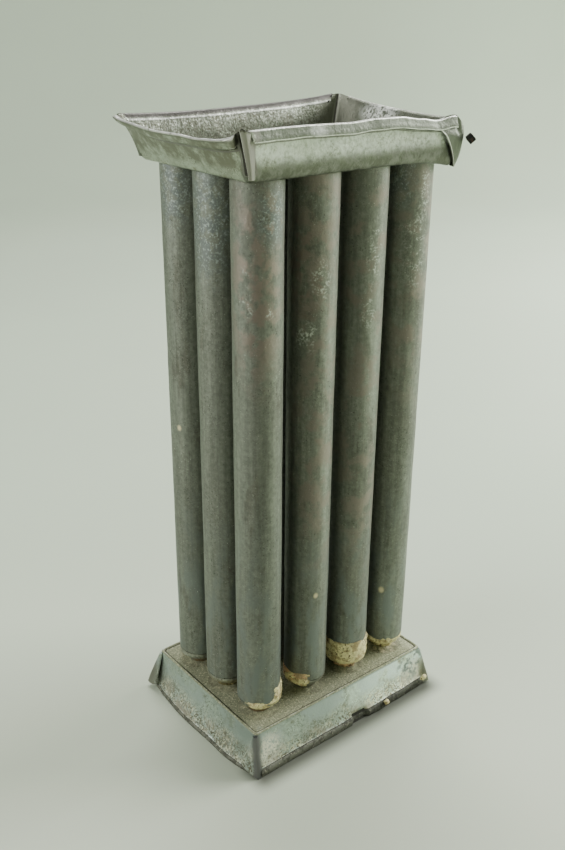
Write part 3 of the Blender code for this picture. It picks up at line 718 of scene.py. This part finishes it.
def turned(tree, radius, angle, height):
    """The point at a radius, an angle and a height."""
    return combined(tree, calc(tree, 'MULTIPLY', radius, calc(tree, 'COSINE', angle)),
                    calc(tree, 'MULTIPLY', radius, calc(tree, 'SINE', angle)), height)


def wavering(tree, where, scale, detail, amount):
    """Noise about 0."""
    made = add(tree, "ShaderNodeTexNoise", {"Vector": where, "Scale": scale, "Detail": detail}).outputs[0]
    return calc(tree, 'MULTIPLY', calc(tree, 'SUBTRACT', made, 0.5), amount)


def bent(tree, grid, points, place):
    """The grid moved to points in millimetres about a place."""
    metres = vector(tree, 'SCALE', vector(tree, 'ADD', points, place), MM)
    return add(tree, "GeometryNodeSetPosition", {"Geometry": grid, "Position": metres}).outputs[0]


def close_tree(tree, geometry, material):
    """Weld the seams, realize, set the material and send it out."""
    welded = add(tree, "GeometryNodeMergeByDistance", {"Geometry": geometry, "Distance": 0.004 * MM}).outputs[0]
    real = add(tree, "GeometryNodeRealizeInstances", {"Geometry": welded}).outputs[0]
    painted = add(tree, "GeometryNodeSetMaterial", {"Geometry": real, "Material": material}).outputs[0]
    add(tree, "NodeGroupOutput", {"Geometry": painted})
    return tree


def grow(name, tree, material, slot, node, **sizes):
    """Run a tree once, keep its result as a plain mesh and hand it to the frame in a node's place."""
    seedling = placed(name, bpy.data.meshes.new(name))
    made = seedling.modifiers.new("shape", 'NODES')
    made.node_group = tree
    for item in tree.interface.items_tree:
        if item.in_out == 'INPUT' and item.name in sizes:
            made[item.identifier] = sizes[item.name]
    mesh = settled(seedling)
    bpy.data.objects.remove(seedling, do_unlink=True)
    finish_piece(name, mesh, material, [node])


def curve_through(tree, along, values):
    """A value that follows these corners as its input runs from 0 to 1."""
    node = add(tree, "ShaderNodeFloatCurve", {"Value": along})
    points = node.mapping.curves[0].points
    for k, value in enumerate(values):
        x = k / (len(values) - 1)
        point = points[0] if k == 0 else points[-1] if k == len(values) - 1 else points.new(x, 0.5)
        point.location = (x, value / CURVE_REACH * 0.5 + 0.5)
        point.handle_type = 'VECTOR'
    node.mapping.update()
    return calc(tree, 'MULTIPLY', calc(tree, 'SUBTRACT', node.outputs[0], 0.5), 2 * CURVE_REACH)


def spun_tree(name, profile, material, wobble, grain):
    """A closed profile of (radius, height) turned round an upright axis, a little uneven."""
    tree, inputs, grid, across, along = bent_grid(name, SPUN_SIDES + 1, (len(profile) - 1) * 3 + 1)
    angle = calc(tree, 'MULTIPLY', across, 2 * math.pi)
    radius, height = (curve_through(tree, along, values) for values in zip(*profile))
    even = turned(tree, radius, angle, height)
    where = vector(tree, 'ADD', even, combined(tree, inputs["Seed"], inputs["Seed"], 0.0))
    push = wavering(tree, where, grain, 3.0, wobble)
    out = turned(tree, push, angle, calc(tree, 'MULTIPLY', push, 0.6))
    return close_tree(tree, bent(tree, grid, vector(tree, 'ADD', even, out), inputs["Place"]), material)


shoulder = [(9.75, 7.3), (9.3, 6.3), (8.5, 5.3), (7.5, 4.5), (6.5, 3.8), (5.9, 3.2), (5.6, 2.4), (5.4, 1.2)]
short_shoulder = [(9.9, 6.6), (9.8, 5.7), (9.1, 5.1), (7.8, 4.9), (6.7, 4.7), (6.2, 4.2), (6.1, 2.4), (5.9, 1.2)]
sleeve = [(8.95, 12.5), (8.95, 8.4), (9.35, 8.1), (9.85, 8.1)]
cup = [(5.4, -4.4), (5.0, -4.9), (1.7, -6.0), (1.4, -5.9), (1.45, -5.5), (4.8, -4.4), (5.0, -4.0), (5.0, 2.4),
       (6.0, 4.6), (8.0, 6.6), (8.4, 7.6), (8.4, 12.5), (8.95, 12.5)]
tin = tarnished("tip tin", (0.30, 0.31, 0.26), (0.22, 0.21, 0.16), (0.12, 0.11, 0.08), 31.0)
tin.coats((tin.level(27, 23), (5, 0.4, 0.6, 2), (0.20, 0.15, 0.08), 0.6, 0.5))
neck = tin.both(tin.near((-36.6, -0.8, 26), 9, 12, 0.3), tin.level(29, 28))
tin.layer(neck, (0.36, 0.33, 0.19), 0.36, 0.9)
tin.coats((neck, (2.5, 0.5, 0.64, 36), (0.13, 0.11, 0.06), 0.6, 0.5))
tip_tin = tin.done()
long_tip = spun_tree("long tip", sleeve + shoulder + cup, tip_tin, 0.5, 0.35)
short_tip = spun_tree("short tip", sleeve + short_shoulder + cup, tip_tin, 0.5, 0.35)
for name, (x, y) in TUBES.items():
    tip = short_tip if name in ("b1", "c1") else long_tip
    grow("cup_" + name, tip, tip_tin, "tip_tin", "tip_" + name, Place=(x, y, BASE_HEIGHT), Seed=x + 2 * y)

# The twelve tubes. Each is a strip of tinplate rolled round a tapered mandrel and soldered along a lap,
# dark with age and worn brighter where hands and the cleaning rag reach.
TUBE_FOOT = 30.0
TUBE_LENGTH = 234.8
FOOT_RADIUS, MOUTH_RADIUS = 9.4, 9.7
TUBE_WALL = 0.5
LAP = 0.36                       # radians
DENTS = 0.5


def rolled_tree(material):
    """A tapered tube rolled from sheet: the sheet's end laps over its start."""
    tree, inputs, grid, across, share = bent_grid("rolled tube", 73, 70)
    turn = calc(tree, 'MULTIPLY', calc(tree, 'ADD', across, 0.5), 2 * math.pi + LAP)
    angle = calc(tree, 'ADD', turn, inputs["Turn"])
    over = add(tree, "ShaderNodeMapRange", {"Value": turn, "From Min": 2 * math.pi - 0.2, "From Max": 2 * math.pi},
               interpolation_type='SMOOTHSTEP').outputs[0]
    taper = calc(tree, 'MULTIPLY_ADD', share, MOUTH_RADIUS - FOOT_RADIUS, FOOT_RADIUS)
    height = calc(tree, 'MULTIPLY', share, TUBE_LENGTH)
    where = vector(tree, 'ADD', turned(tree, 10.0, angle, calc(tree, 'MULTIPLY', height, 0.45)),
                   combined(tree, inputs["Seed"], 0.0, 0.0))
    radius = calc(tree, 'ADD', calc(tree, 'MULTIPLY_ADD', over, TUBE_WALL * 1.05, taper),
                  wavering(tree, where, 0.09, 2.0, DENTS))
    bore = bent(tree, grid, turned(tree, radius, angle, height), inputs["Place"])
    outer = add(tree, "GeometryNodeExtrudeMesh", {"Mesh": bore, "Offset Scale": TUBE_WALL * MM, "Individual": False})
    both = add(tree, "GeometryNodeJoinGeometry", {0: outer.outputs[0]})
    tree.links.new(add(tree, "GeometryNodeFlipFaces", {"Mesh": bore}).outputs[0], both.inputs[0])
    return close_tree(tree, both.outputs[0], material)


tin = tarnished("tube tin", (0.254, 0.274, 0.230), (0.215, 0.228, 0.187), (0.177, 0.182, 0.145), 47.0,
                upright=0.3, gloss=0.54, grain=0.4)
tin.grained(tin.blotches(1.5, 0.3, 0.7, 6, 3, 0.03), 0.11)
tin.shade(tin.blotches(1.9, 0.34, 0.66, 48, 6), 0.89, 1.12)
tin.grained(tin.blotches(5, 0.3, 0.7, 7, 3, 0.06), 0.08)
lower = tin.level(150, 40)
tin.coats((lower, (7, 0.44, 0.64, 12, 6, 0.35), (0.215, 0.245, 0.225), 0.5, 0.8))
tin.shade(lower, 1.0, 0.88)
tin.shade(tin.between(tin.x, -20, -28), 1.0, 0.9)
# Painted shade along the right edge of a tube in the front row.
tin.shade(tin.near((-1.5, -30, 150), 2, 9, 0.02), 1.0, 0.8)
tin.coats((tin.near((-44, -33, 225), 5, 17, 0.3), (7, 0.42, 0.58, 90), (0.275, 0.235, 0.20), 0.45, 0.8),
          (tin.near((-17, -32, 232), 5, 17, 0.4), (7, 0.45, 0.6, 92), (0.25, 0.215, 0.18), 0.45, 0.8))
for spot, inner, outer, squash in (((-47, -5, 245), 3, 16, 0.45), ((-47, 19, 255), 3, 13, 0.5),
                                   ((33, -29, 258), 2, 12, 0.6), ((-38, -34, 250), 2, 9, 0.5)):
    patch = tin.near(spot, inner, outer, squash)
    tin.coats((patch, (5, 0.42, 0.55, 94), (0.16, 0.18, 0.17), 0.5, 0.7),
              (patch, (0.9, 0.5, 0.66, 95, 6), (0.34, 0.39, 0.36), 0.5, 0.5))
for spot in ((-11, -35, 232), (15, -35, 228), (41, -35, 215), (-11, -35, 150), (15, -35, 140)):
    tin.coats((tin.near(spot, 6, 20, 0.25), (9, 0.44, 0.62, 93), (0.262, 0.238, 0.20), 0.5, 0.8))
bright = tin.both(tin.blotches(3.5, 0.42, 0.6, 96, 2), tin.blotches(1.0, 0.45, 0.64, 97, 6))
for spot, outer, squash in (((-39.5, -34.9, 213.1), 2.4, 0.6), ((-18, -31.4, 199.1), 7, 0.8),
                            ((-15, -34, 201), 3.5, 1), ((41.3, -35, 252), 6, (1.5, 1, 0.4)),
                            ((38, -35, 228), 7, 0.3), ((14, -36, 230), 5, 0.25),
                            ((-14, -35, 222), 6, 0.5), ((12, -35, 205), 5, 0.4), ((-49, -30, 216), 6, 0.8),
                            ((-49, -31, 227), 6, (1.3, 1.3, 0.4))):
    tin.layer((tin.near(spot, outer * 0.3, outer, squash), bright), (0.56, 0.60, 0.52), 0.6, 0.3)
specks = (tin.blotches(0.6, 0.67, 0.75, 98, 2), tin.blotches(20, 0.42, 0.56, 99))
tin.layer(specks, (0.52, 0.55, 0.46), 0.6, 0.3)
for spot, outer in (((-12.7, -34.8, 76.9), 1.6), ((33, -30.8, 59.4), 1.9), ((-47.4, 19.5, 150.0), 1.5)):
    tin.layer(tin.near(spot, outer * 0.3, outer, 0.8), (0.62, 0.55, 0.33), 0.6, 0.0)
tube_tin = tin.done()
rolled = rolled_tree(tube_tin)
for name, (x, y) in TUBES.items():
    seam = math.atan2(MIDDLE[1] - 0.6 - y, MIDDLE[0] + 0.4 - x)
    grow("rolled_" + name, rolled, tube_tin, "tube_tin", "tube_" + name, Place=(x, y, TUBE_FOOT), Seed=x * 3 + y,
         Turn=seam)

# Soft solder round each neck where it passes through the base. It is run on with an iron as a low fillet and
# is thick with dust and old wax.
foot_section = [(5.3, 0.0), (5.3, 1.1), (5.8, 1.15), (6.5, 0.9), (7.4, 0.6), (8.5, 0.3), (9.6, 0.05), (9.6, -0.05),
                (5.3, -0.05), (5.3, 0.0)]
solder = Finish("dusty solder", (0.28, 0.29, 0.18), 0.85, 0.1)
solder.layer(solder.blotches(4, 0.45, 0.6, 4), (0.19, 0.195, 0.12), 0.8)
solder.layer(solder.blotches(1.2, 0.55, 0.68, 9), (0.42, 0.41, 0.26), 0.9)
solder.coats((solder.near((34, -26, 21.5), 4, 20), (2.2, 0.44, 0.58, 12), (0.58, 0.54, 0.36)))
solder.shade(solder.blotches(0.8, 0.3, 0.7, 14), 0.75, 1.2)
solder.relief(solder.blotches(0.8, 0.3, 0.7, 14), 0.15)
dusty = solder.done()
fillet = spun_tree("foot fillet", foot_section, dusty, 1.1, 0.4)
for name, (x, y) in TUBES.items():
    grow("fillet_" + name, fillet, dusty, "solder", "foot_solder_" + name, Place=(x, y, BASE_HEIGHT), Seed=3 * x - y)

# Tallow that ran out at the tips and set there: one thick cap, broken flakes and drips on the tips beside it,
# and two crumbs on the base's edge. It is dirt on the tin, so it has no node of its own.
CRUST_BACK = 0.6                 # how far its hidden face lies inside the tip
TIP_PROFILE = [(-0.2, 6.4), (1.2, 5.4), (2.4, 5.6), (3.2, 5.9), (3.8, 6.5), (4.5, 7.5), (5.3, 8.5), (6.3, 9.3),
               (7.3, 9.75), (8.1, 9.95), (30.0, 10.0)]


def crust(name, tube, middle, spread, low, high, thick, seed, material, gaps):
    """A ragged patch laid on a tip between two heights above the plate; gaps says how much of it has come off."""
    across, levels = 60, 30
    rings = []
    for j in range(levels + 1):
        height = low + (high - low) * j / levels
        (h0, r0), (h1, r1) = next(pair for pair in zip(TIP_PROFILE, TIP_PROFILE[1:]) if height <= pair[1][0])
        radius = r0 + (r1 - r0) * (height - h0) / (h1 - h0)
        outer, inner = [], []
        for k in range(across + 1):
            turn = math.radians(middle + spread * (2 * k / across - 1))
            spot = Vector((math.cos(turn) * 8, math.sin(turn) * 8, height * 1.3)) + Vector((seed, 0, seed))
            ragged = noise.noise(spot / 3.2) * 0.45 + noise.noise(spot / 1.3) * 0.2
            edge = min(1 - abs(2 * k / across - 1), 1 - abs(2 * j / levels - 1)) * 3.2
            edge = min(edge, 1.2) + 2.2 * ragged - gaps
            swell = thick * clamp(edge, -0.4) * (1 + 0.35 * noise.noise(spot / 2.2))
            swell += 0.07 * noise.noise(spot / 0.6)
            for ring, r in ((outer, radius + swell), (inner, radius - CRUST_BACK)):
                x, y = tube[0] + r * math.cos(turn), tube[1] + r * math.sin(turn)
                ring.append(Vector((x, y, BASE_HEIGHT + height)))
        rings.append(outer + inner[::-1])
    mesh_piece(name, *skin(rings), material, "tip_tin")


def lump(name, place, size, seed, material):
    """A small rounded crumb, flattened where it clings."""
    work = bmesh.new()
    bmesh.ops.create_icosphere(work, subdivisions=4, radius=1.0)
    for vertex in work.verts:
        vertex.co *= 1 + 0.3 * noise.noise(vertex.co * 1.3 + Vector((seed, 0, 0))) + 0.1 * noise.noise(vertex.co * 4)
        vertex.co = (Vector(place) + Vector([v * w for v, w in zip(vertex.co, size)])) * MM
    mesh = bpy.data.meshes.new(name)
    work.to_mesh(mesh)
    work.free()
    finish_piece(name, mesh, material)


def tallow(name, colour, stain, seed):
    """Old candle fat: waxy and yellow, stained brown, with grit set in it."""
    fat = Finish(name, colour, 0.48, 0.0)
    fat.layer(fat.blotches(4, 0.48, 0.62, seed), stain, 0.55)
    fat.shade(fat.blotches(1.6, 0.3, 0.7, seed + 1, 5), 0.82, 1.15)
    grit = (fat.blotches(0.9, 0.54, 0.62, seed + 2, 3), fat.blotches(5, 0.44, 0.56, seed + 5))
    fat.layer(grit, (0.10, 0.06, 0.03), 0.8)
    # Painted shade, with some grime, in the fat's folds and hollows.
    fat.layer(fat.shaded_folds(1.2), (0.10, 0.06, 0.03), 0.9)
    fat.relief(fat.blotches(1.0, 0.3, 0.7, seed + 3), 0.12)
    return fat.done()


yellow = tallow("old tallow", (0.74, 0.67, 0.34), (0.38, 0.30, 0.14), 3.0)
brown = tallow("scorched tallow", (0.66, 0.44, 0.23), (0.38, 0.28, 0.15), 9.0)
for kind, tube, middle, spread, low, high, thick, seed, material, gaps in (
        ("cap", "a3", 231, 100, 2.4, 18.0, 0.8, 5.0, yellow, 0.0),
        ("drip", "a3", 225, 80, 0.3, 4.0, 0.7, 8.0, brown, 0.2),
        ("flake", "a1", 315, 38, 3.0, 16.0, 0.7, 2.0, yellow, 0.15),
        ("bits", "a1", 258, 66, 2.0, 10.0, 0.4, 15.0, yellow, 0.8),
        ("stain", "a2", 190, 48, 1.5, 12.5, 0.5, 23.0, brown, 0.2),
        ("bits", "a2", 200, 44, 2.0, 12.0, 0.75, 27.0, yellow, 0.25),
        ("bits", "a4", 231, 90, 0.2, 9.5, 0.55, 31.0, yellow, 0.7),
        ("bits", "b1", 231, 85, -0.1, 2.8, 0.8, 44.0, yellow, 0.9)):
    crust(f"tallow_{kind}_{tube}", TUBES[tube], middle, spread, low, high, thick, seed, material, gaps)
lump("tallow_crumb_edge", (26.9, -45.0, 3.6), (1.5, 1.1, 1.3), 3.0, yellow)
lump("tallow_crumb_ear", (53.3, -44.6, 5.6), (1.7, 0.9, 1.5), 8.0, yellow)

# The tray. A second folded sheet that the wax was poured into: its rim is turned out and flattened into a hem,
# the spare metal of its corners is folded into ears. Its left rim sags and its right corner has been knocked.
# Shade is painted under its hems, in its folds and on its lower walls, and highlights on its folds and crystals.
TRAY_HEIGHT = 18.6
TRAY_FLOOR = 263.2
BEND_RADIUS = 5.2
MOUTH_HOLE = 10.45               # radius
FOLD_RISE = 1.5                  # where the ears start
tray = Pan(half=(52.5, 37.55), height=TRAY_HEIGHT, corner=2.0, bend=1.5, flare=(4.6, 2.0),
           bow={"left": 3.6, "front": -1.2, "right": 0.4, "back": 0.4}, level=TRAY_FLOOR, up=1, seed=37.0,
           sag={"left": 3.6, "front": -0.6, "right": 2.0, "back": 1.9},
           rims={"front": [(-1, 0.0), (-0.6, 0.15), (-0.13, 0.05), (0.15, 0.9), (0.36, 1.0), (0.58, -0.1),
                           (0.74, -0.9), (0.94, 1.1), (1, 0.0)],
                 "left": [(-1, 0.0), (-0.92, -1.2), (-0.83, -1.3), (-0.55, -0.5), (-0.22, 0.5), (0.15, 0.5),
                          (0.57, 1.0), (1, 0.0)]},
           lift={(1, -1): -2.2, (1, 1): 1.8, (-1, 1): -0.9}, splay={(1, -1): -1.6, (-1, 1): 1.9}, droop=4.5, dip=3.2,
           spans={"left": (-0.965, 0.97, 0.0, 0.45), "front": (-0.992, 0.957, 1.8, 0.0),
                  "right": (-0.78, 0.88, 0.0, 0.0), "back": (-0.99, 0.97, 0.0, 0.0)})
arcs = [math.radians(11.25 * k) for k in range(9)]
bend, inner_bend = ([(-2.4 + round_by * math.sin(a), BEND_RADIUS - (BEND_RADIUS - lift) * math.cos(a), 0) for a in arcs]
                    for round_by, lift in ((2.4, 0.0), (1.8, SHEET)))
bend = [(-4.0, 0.0, 0), (-3.2, 0.0, 0)] + bend
inner_bend = inner_bend[::-1] + [(-3.2, SHEET, 0), (-4.0, SHEET, 0)]
walls = [5.9 + k * 0.98 for k in range(6)]
soft = rolled_hem(TRAY_HEIGHT, 4.6, 1.6)
hems = {"front": flat_hem(TRAY_HEIGHT, 4.3, 1.5), "left": soft, "right": soft,
        "back": rolled_hem(TRAY_HEIGHT, 4.6, 1.6, True)}
rings, worn_and_shaded = sheet_pan(tray, bend, walls, hems, inner_bend,
                        shaded_corners=(((-1, -1), "outside", 90), ((1, 1), "inside", 220)))
folded = [pierced(*skin(rings), MOUTH_HOLE, TRAY_FLOOR - 4, TRAY_FLOOR + 2)]
for side, end, free, wrap, stand, top, fall, more in (
        # The horn's top edge is painted dark as the shadow of the gap behind it.
        ("left", -1, (-1.3, -0.9), 3.5, (0.0, 0.8, 1.5), 1.5, (0.32, 1.4), {"lip": -1.0, "settle": 0.6}),
        ("front", 1, (-0.9, 13.0), 3.4, (0.0, 2.7, 0.4), 0.2, (0.1, 1.3),
         {"settle": 0.25, "tuck": TRAY_HEIGHT - 5.6, "lip": 0.2}),
        ("right", 1, (0.8, 3.0), 3.4, (0.0, 0.3, 0.4), -0.8, (0.3, 1.0), {}),
        ("back", -1, (0.8, 3.0), 0.4, (-0.6, -0.3, 0.0), -0.8, (0.3, 1.0), {"settle": 0.9})):
    flap, marks = ear(tray, side, end, free, wrap, stand, FOLD_RISE, TRAY_HEIGHT + top, fall, **more)
    folded.append(flap)
    worn_and_shaded += marks
tin = tarnished("tray tin", (0.325, 0.36, 0.285), (0.235, 0.255, 0.19), (0.145, 0.145, 0.095), 61.0, gloss=0.30)
front, left = tin.between(tin.y, -36.5, -38.0), tin.between(tin.x, -51.0, -53.0)
high_front = (front, tin.level(267, 270), tin.level(278, 276.5), tin.blotches(1.8, 0.28, 0.62, 40, 5))
tin.coats((high_front, (14, 0.25, 0.45, 42), (0.56, 0.62, 0.52), 0.55, 0.35))
# Painted shade on the lower front wall, where it curves under, laid plain and then in blotches.
low_front = tin.both(tin.between(tin.y, -33.0, -34.5), tin.level(272.6, 266))
tin.layer(low_front, (0.085, 0.092, 0.066), 0.4, 0.9)
floor_up, inside = tin.level(265, 266), tin.between(tin.y, 33, 35)
# Painted shade, in blotches, on the lower front wall and on the left wall; the back wall's inside is mottled darker.
tin.coats((low_front, (4, 0.42, 0.62, 43, 5), (0.147, 0.157, 0.124), 0.5, 0.7),
          (left, (5, 0.32, 0.58, 80), (0.148, 0.153, 0.106), 0.5, 0.7),
          ((inside, floor_up), (1.0, 0.42, 0.6, 86, 5), (0.15, 0.155, 0.112), 0.5, 0.7))
# The back wall's inside is painted darker low down, as shade, and its crystals near the rim carry a painted highlight.
tin.shade((inside, floor_up, tin.level(275, 268)), 1.0, 0.8)
tin.coats(((inside, floor_up, tin.level(272, 276)), (1.0, 0.52, 0.62, 87, 6), (0.58, 0.61, 0.52), 0.4, 0.5))
# The right wall is made darker, the back right corner inside is painted lighter as lit, and the right wall's crystals
# near the rim carry a painted reflection of the light.
tin.shade((tin.between(tin.x, 51, 54), floor_up), 1.0, 0.84)
tin.layer(tin.near((54, 33, 274), 4, 14, 0.8), (0.27, 0.28, 0.22), 0.5, 0.7)
tin.coats((tin.near((56.5, 10, 277), 4, 15, (0.3, 1, 2.6)), (1.5, 0.4, 0.53, 84, 6), (0.92, 0.95, 0.87), 0.4, 0.35))
# Hem faces and ear bodies: smoother, and painted darker as shade on faces turned down from the light.
smooth = tin.both(tin.wear_and_shading(0.1, 0.2), tin.wear_and_shading(0.4, 0.3))
tin.layer(smooth, (0.135, 0.15, 0.115), 0.44, 0.9)
# A painted glint on the front hem.
tin.layer((smooth, tin.near((-21.0, -40.5, 280), 0.3, 5.0, 0.3)), (0.40, 0.425, 0.365), 0.44, 0.25)
# The horn is laid smooth grey, and its left part is painted lighter, as lit.
horn = tin.both(tin.near((-53.5, -38.5, 275), 4.5, 6.5, 0.3), tin.wear_and_shading(0.1, 0.2))
tin.layer(horn, (0.25, 0.25, 0.205), 0.7, 0.35)
tin.layer((horn, tin.near((-57.5, -37.0, 276), 2.6, 4.6, 0.2)), (0.40, 0.40, 0.34), 0.75, 0.1)
# Painted shade, with some grime, under the hems, inside them and in the gaps behind the ears: mid dark, then near
# black.
tin.layer((tin.wear_and_shading(-0.15, -0.35), tin.wear_and_shading(-0.6, -0.5)), (0.14, 0.135, 0.12), 0.4, 0.8)
tin.layer(tin.wear_and_shading(-0.5, -0.95), (0.028, 0.026, 0.018), 0.8, 0.2)
# Fold crests and free edges painted bright as highlights, as well as polished.
tin.coats((tin.wear_and_shading(0.35, 0.95), (5, 0.25, 0.45, 50), (0.80, 0.82, 0.74), 0.35, 0.6))
mesh_piece("tray", *joined(folded), tin.done(), "tray_tin", ["tray_pan"], worn_and_shaded)

# A bead of soft solder round each tube's mouth, on the tray's floor. It holds the tube in its hole and keeps
# the tallow from running down outside it.
mouth_section = [(10.15, 0.0), (10.15, 0.9), (10.5, 0.75), (10.9, 0.35), (11.3, 0.05), (11.3, -0.05), (10.15, -0.05),
                 (10.15, 0.0)]
solder = Finish("old solder", (0.27, 0.27, 0.24), 0.55, 0.6)
solder.layer(solder.blotches(3, 0.45, 0.6, 4), (0.38, 0.38, 0.34), 0.45)
solder.grained(solder.blotches(0.9, 0.3, 0.7, 5), 0.2)
solder.relief(solder.blotches(0.9, 0.3, 0.7, 5), 0.1)
leaded = solder.done()
bead = spun_tree("mouth bead", mouth_section, leaded, 0.35, 0.5)
for name, (x, y) in TUBES.items():
    grow("bead_" + name, bead, leaded, "solder", "mouth_solder_" + name, Place=(x, y, TRAY_FLOOR + SHEET),
         Seed=x - 5 * y)

# A stub of black iron wire left in the ear at the tray's right corner. It keeps the shape that it has in the
# frame, cut off square, and only its surface is made here.
iron = Finish("black iron", (0.02, 0.02, 0.02), 0.6, 0.5)
iron.layer(iron.blotches(1.5, 0.5, 0.65, 3), (0.07, 0.045, 0.03), 0.8, 0.2)
iron.grained(iron.blotches(0.6, 0.3, 0.7, 7), 0.3)
iron.relief(iron.blotches(0.6, 0.3, 0.7, 7), 0.08)
blackened = iron.done()
for material_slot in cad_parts["corner_wire"].material_slots:
    material_slot.material = blackened

# The table and the walls round it are one pale paper bowl, so that every side of the mould has it behind.
# The paper carries a painted shadow beside the base, where the mould keeps the light off it; it is painted brighter
# towards the right, and dark out of sight at the top, standing in for a dim room.
BOWL_SIDES = 96
AWAY = (0.629, 0.777)            # away from the camera, seen from above
paper = Finish("pale paper", (0.57, 0.63, 0.49), 0.9, 0.0)
away = calc(paper.tree, 'MULTIPLY_ADD', paper.x, AWAY[0], calc(paper.tree, 'MULTIPLY', paper.y, AWAY[1]))
sideways = calc(paper.tree, 'MULTIPLY_ADD', paper.x, AWAY[1], calc(paper.tree, 'MULTIPLY', paper.y, -AWAY[0]))
paper.layer(paper.between(away, -100, 250), (0.53, 0.622, 0.475))
paper.grained(paper.blotches(300, 0.3, 0.7, 1, 2), 0.015)
# Painted light: the paper is made darker towards the left of the view and brighter towards the right.
paper.shade(paper.between(sideways, -900, 900), 0.91, 1.17)
paper.shade(paper.between(sideways, 50, 600), 1.0, 1.3)
# Painted shadow on the paper beside the base's front.
beside = (paper.between(paper.y, -55, -45), paper.between(paper.y, -30, -38), paper.between(paper.x, -60, -50),
          paper.between(paper.x, 66, 54), 0.85)
paper.layer(beside, (0.045, 0.045, 0.034))
# Painted dark high on the bowl, standing in for the dim room above the lamps.
paper.layer(paper.level(450, 1000), (0.12, 0.12, 0.115))
bowl = [(0.0, 0.0), (0.3, 0.0), (0.8, 0.0), (1.3, 0.0)]
for k in range(1, 16):
    turn = math.radians(6 * k)
    bowl.append((1.3 + 0.7 * math.sin(turn), 0.7 - 0.7 * math.cos(turn)))
bowl += [(2.0, 1.4), (2.0, 2.4)]
angles = [2 * math.pi * k / BOWL_SIDES for k in range(BOWL_SIDES)]
points, loops = skin([[Vector((r * math.cos(a), r * math.sin(a), h)) for a in angles] for r, h in bowl])
paper_mesh = plain_mesh("paper", points, loops[:-2])
work = bmesh.new()
work.from_mesh(paper_mesh)
bmesh.ops.remove_doubles(work, verts=work.verts, dist=0.0001)
outward = [face for face in work.faces
           if face.calc_center_median().dot(face.normal) > 0.01 or face.normal.z < -0.5]
bmesh.ops.reverse_faces(work, faces=outward)
work.to_mesh(paper_mesh)
work.free()
paper_mesh.materials.append(paper.done())
paper_mesh.shade_smooth()
placed("paper", paper_mesh)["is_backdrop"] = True

# Soft light from both sides, and the camera above the front left corner. The lamps are square soft boxes
# turned to the lower half of the mould.
world = bpy.data.worlds.new("room")
bpy.context.scene.world = world
world.use_nodes = True
world.node_tree.nodes["Background"].inputs["Color"].default_value = (1.0, 1.0, 1.0, 1.0)
world.node_tree.nodes["Background"].inputs["Strength"].default_value = 0.3
for name, place, aim, size, power in (("left box", (-1.1, 0.25, 0.6), (0, 0, 0.13), 0.8, 11.0),
                                      ("right box", (1.15, -0.35, 0.75), (0, 0, 0.13), 0.8, 27.0),
                                      ("back box", (0.5, 0.75, 1.6), (0.25, 0.25, 0.0), 0.9, 24.0)):
    lamp = bpy.data.lights.new(name, 'AREA')
    lamp.size = size
    lamp.energy = power
    box = placed(name, lamp)
    box.location = place
    box.rotation_euler = (Vector(aim) - Vector(place)).to_track_quat('-Z', 'Y').to_euler()
    box.visible_camera = False

camera_data = bpy.data.cameras.new("camera")
camera_data.lens = 40.75
camera_data.sensor_width = 36
camera_data.clip_start = 0.01
camera = placed("camera", camera_data)
yaw, pitch, roll = math.radians(-39.0), math.radians(23.73), math.radians(0.48)
turned_to = Matrix.Rotation(yaw, 4, 'Z') @ Matrix.Rotation(math.pi / 2 - pitch, 4, 'X') @ Matrix.Rotation(roll, 4, 'Z')
camera.matrix_world = Matrix.Translation((-0.25492, -0.30891, 0.3215)) @ turned_to
bpy.context.scene.camera = camera

# A dark card lies before the mould, outside the picture, so that the tin has something dark to mirror.
# It is flat on the table, spreads towards the camera, and neither shades nor lights anything.
towards = math.radians(43.0)
toward = Vector((-math.sin(towards), -math.cos(towards), 0))
across = Vector((toward.y, -toward.x, 0))
corners = [toward * out + across * side + Vector((0, 0, 0.002))
           for out, side in ((0.17, -0.4), (1.3, -1.0), (1.3, 0.7), (0.17, 0.22))]
card_mesh = plain_mesh("card", corners, [(0, 1, 2, 3)])
card_mesh.materials.append(Finish("dark card", (0.062, 0.052, 0.043), 0.9, 0.0).done())
card = placed("card", card_mesh)
card.visible_camera = False
card.visible_shadow = False
card.visible_diffuse = False
card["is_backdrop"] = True

size = {"cad": cad_box, "visual": [list(corner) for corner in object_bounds()]}
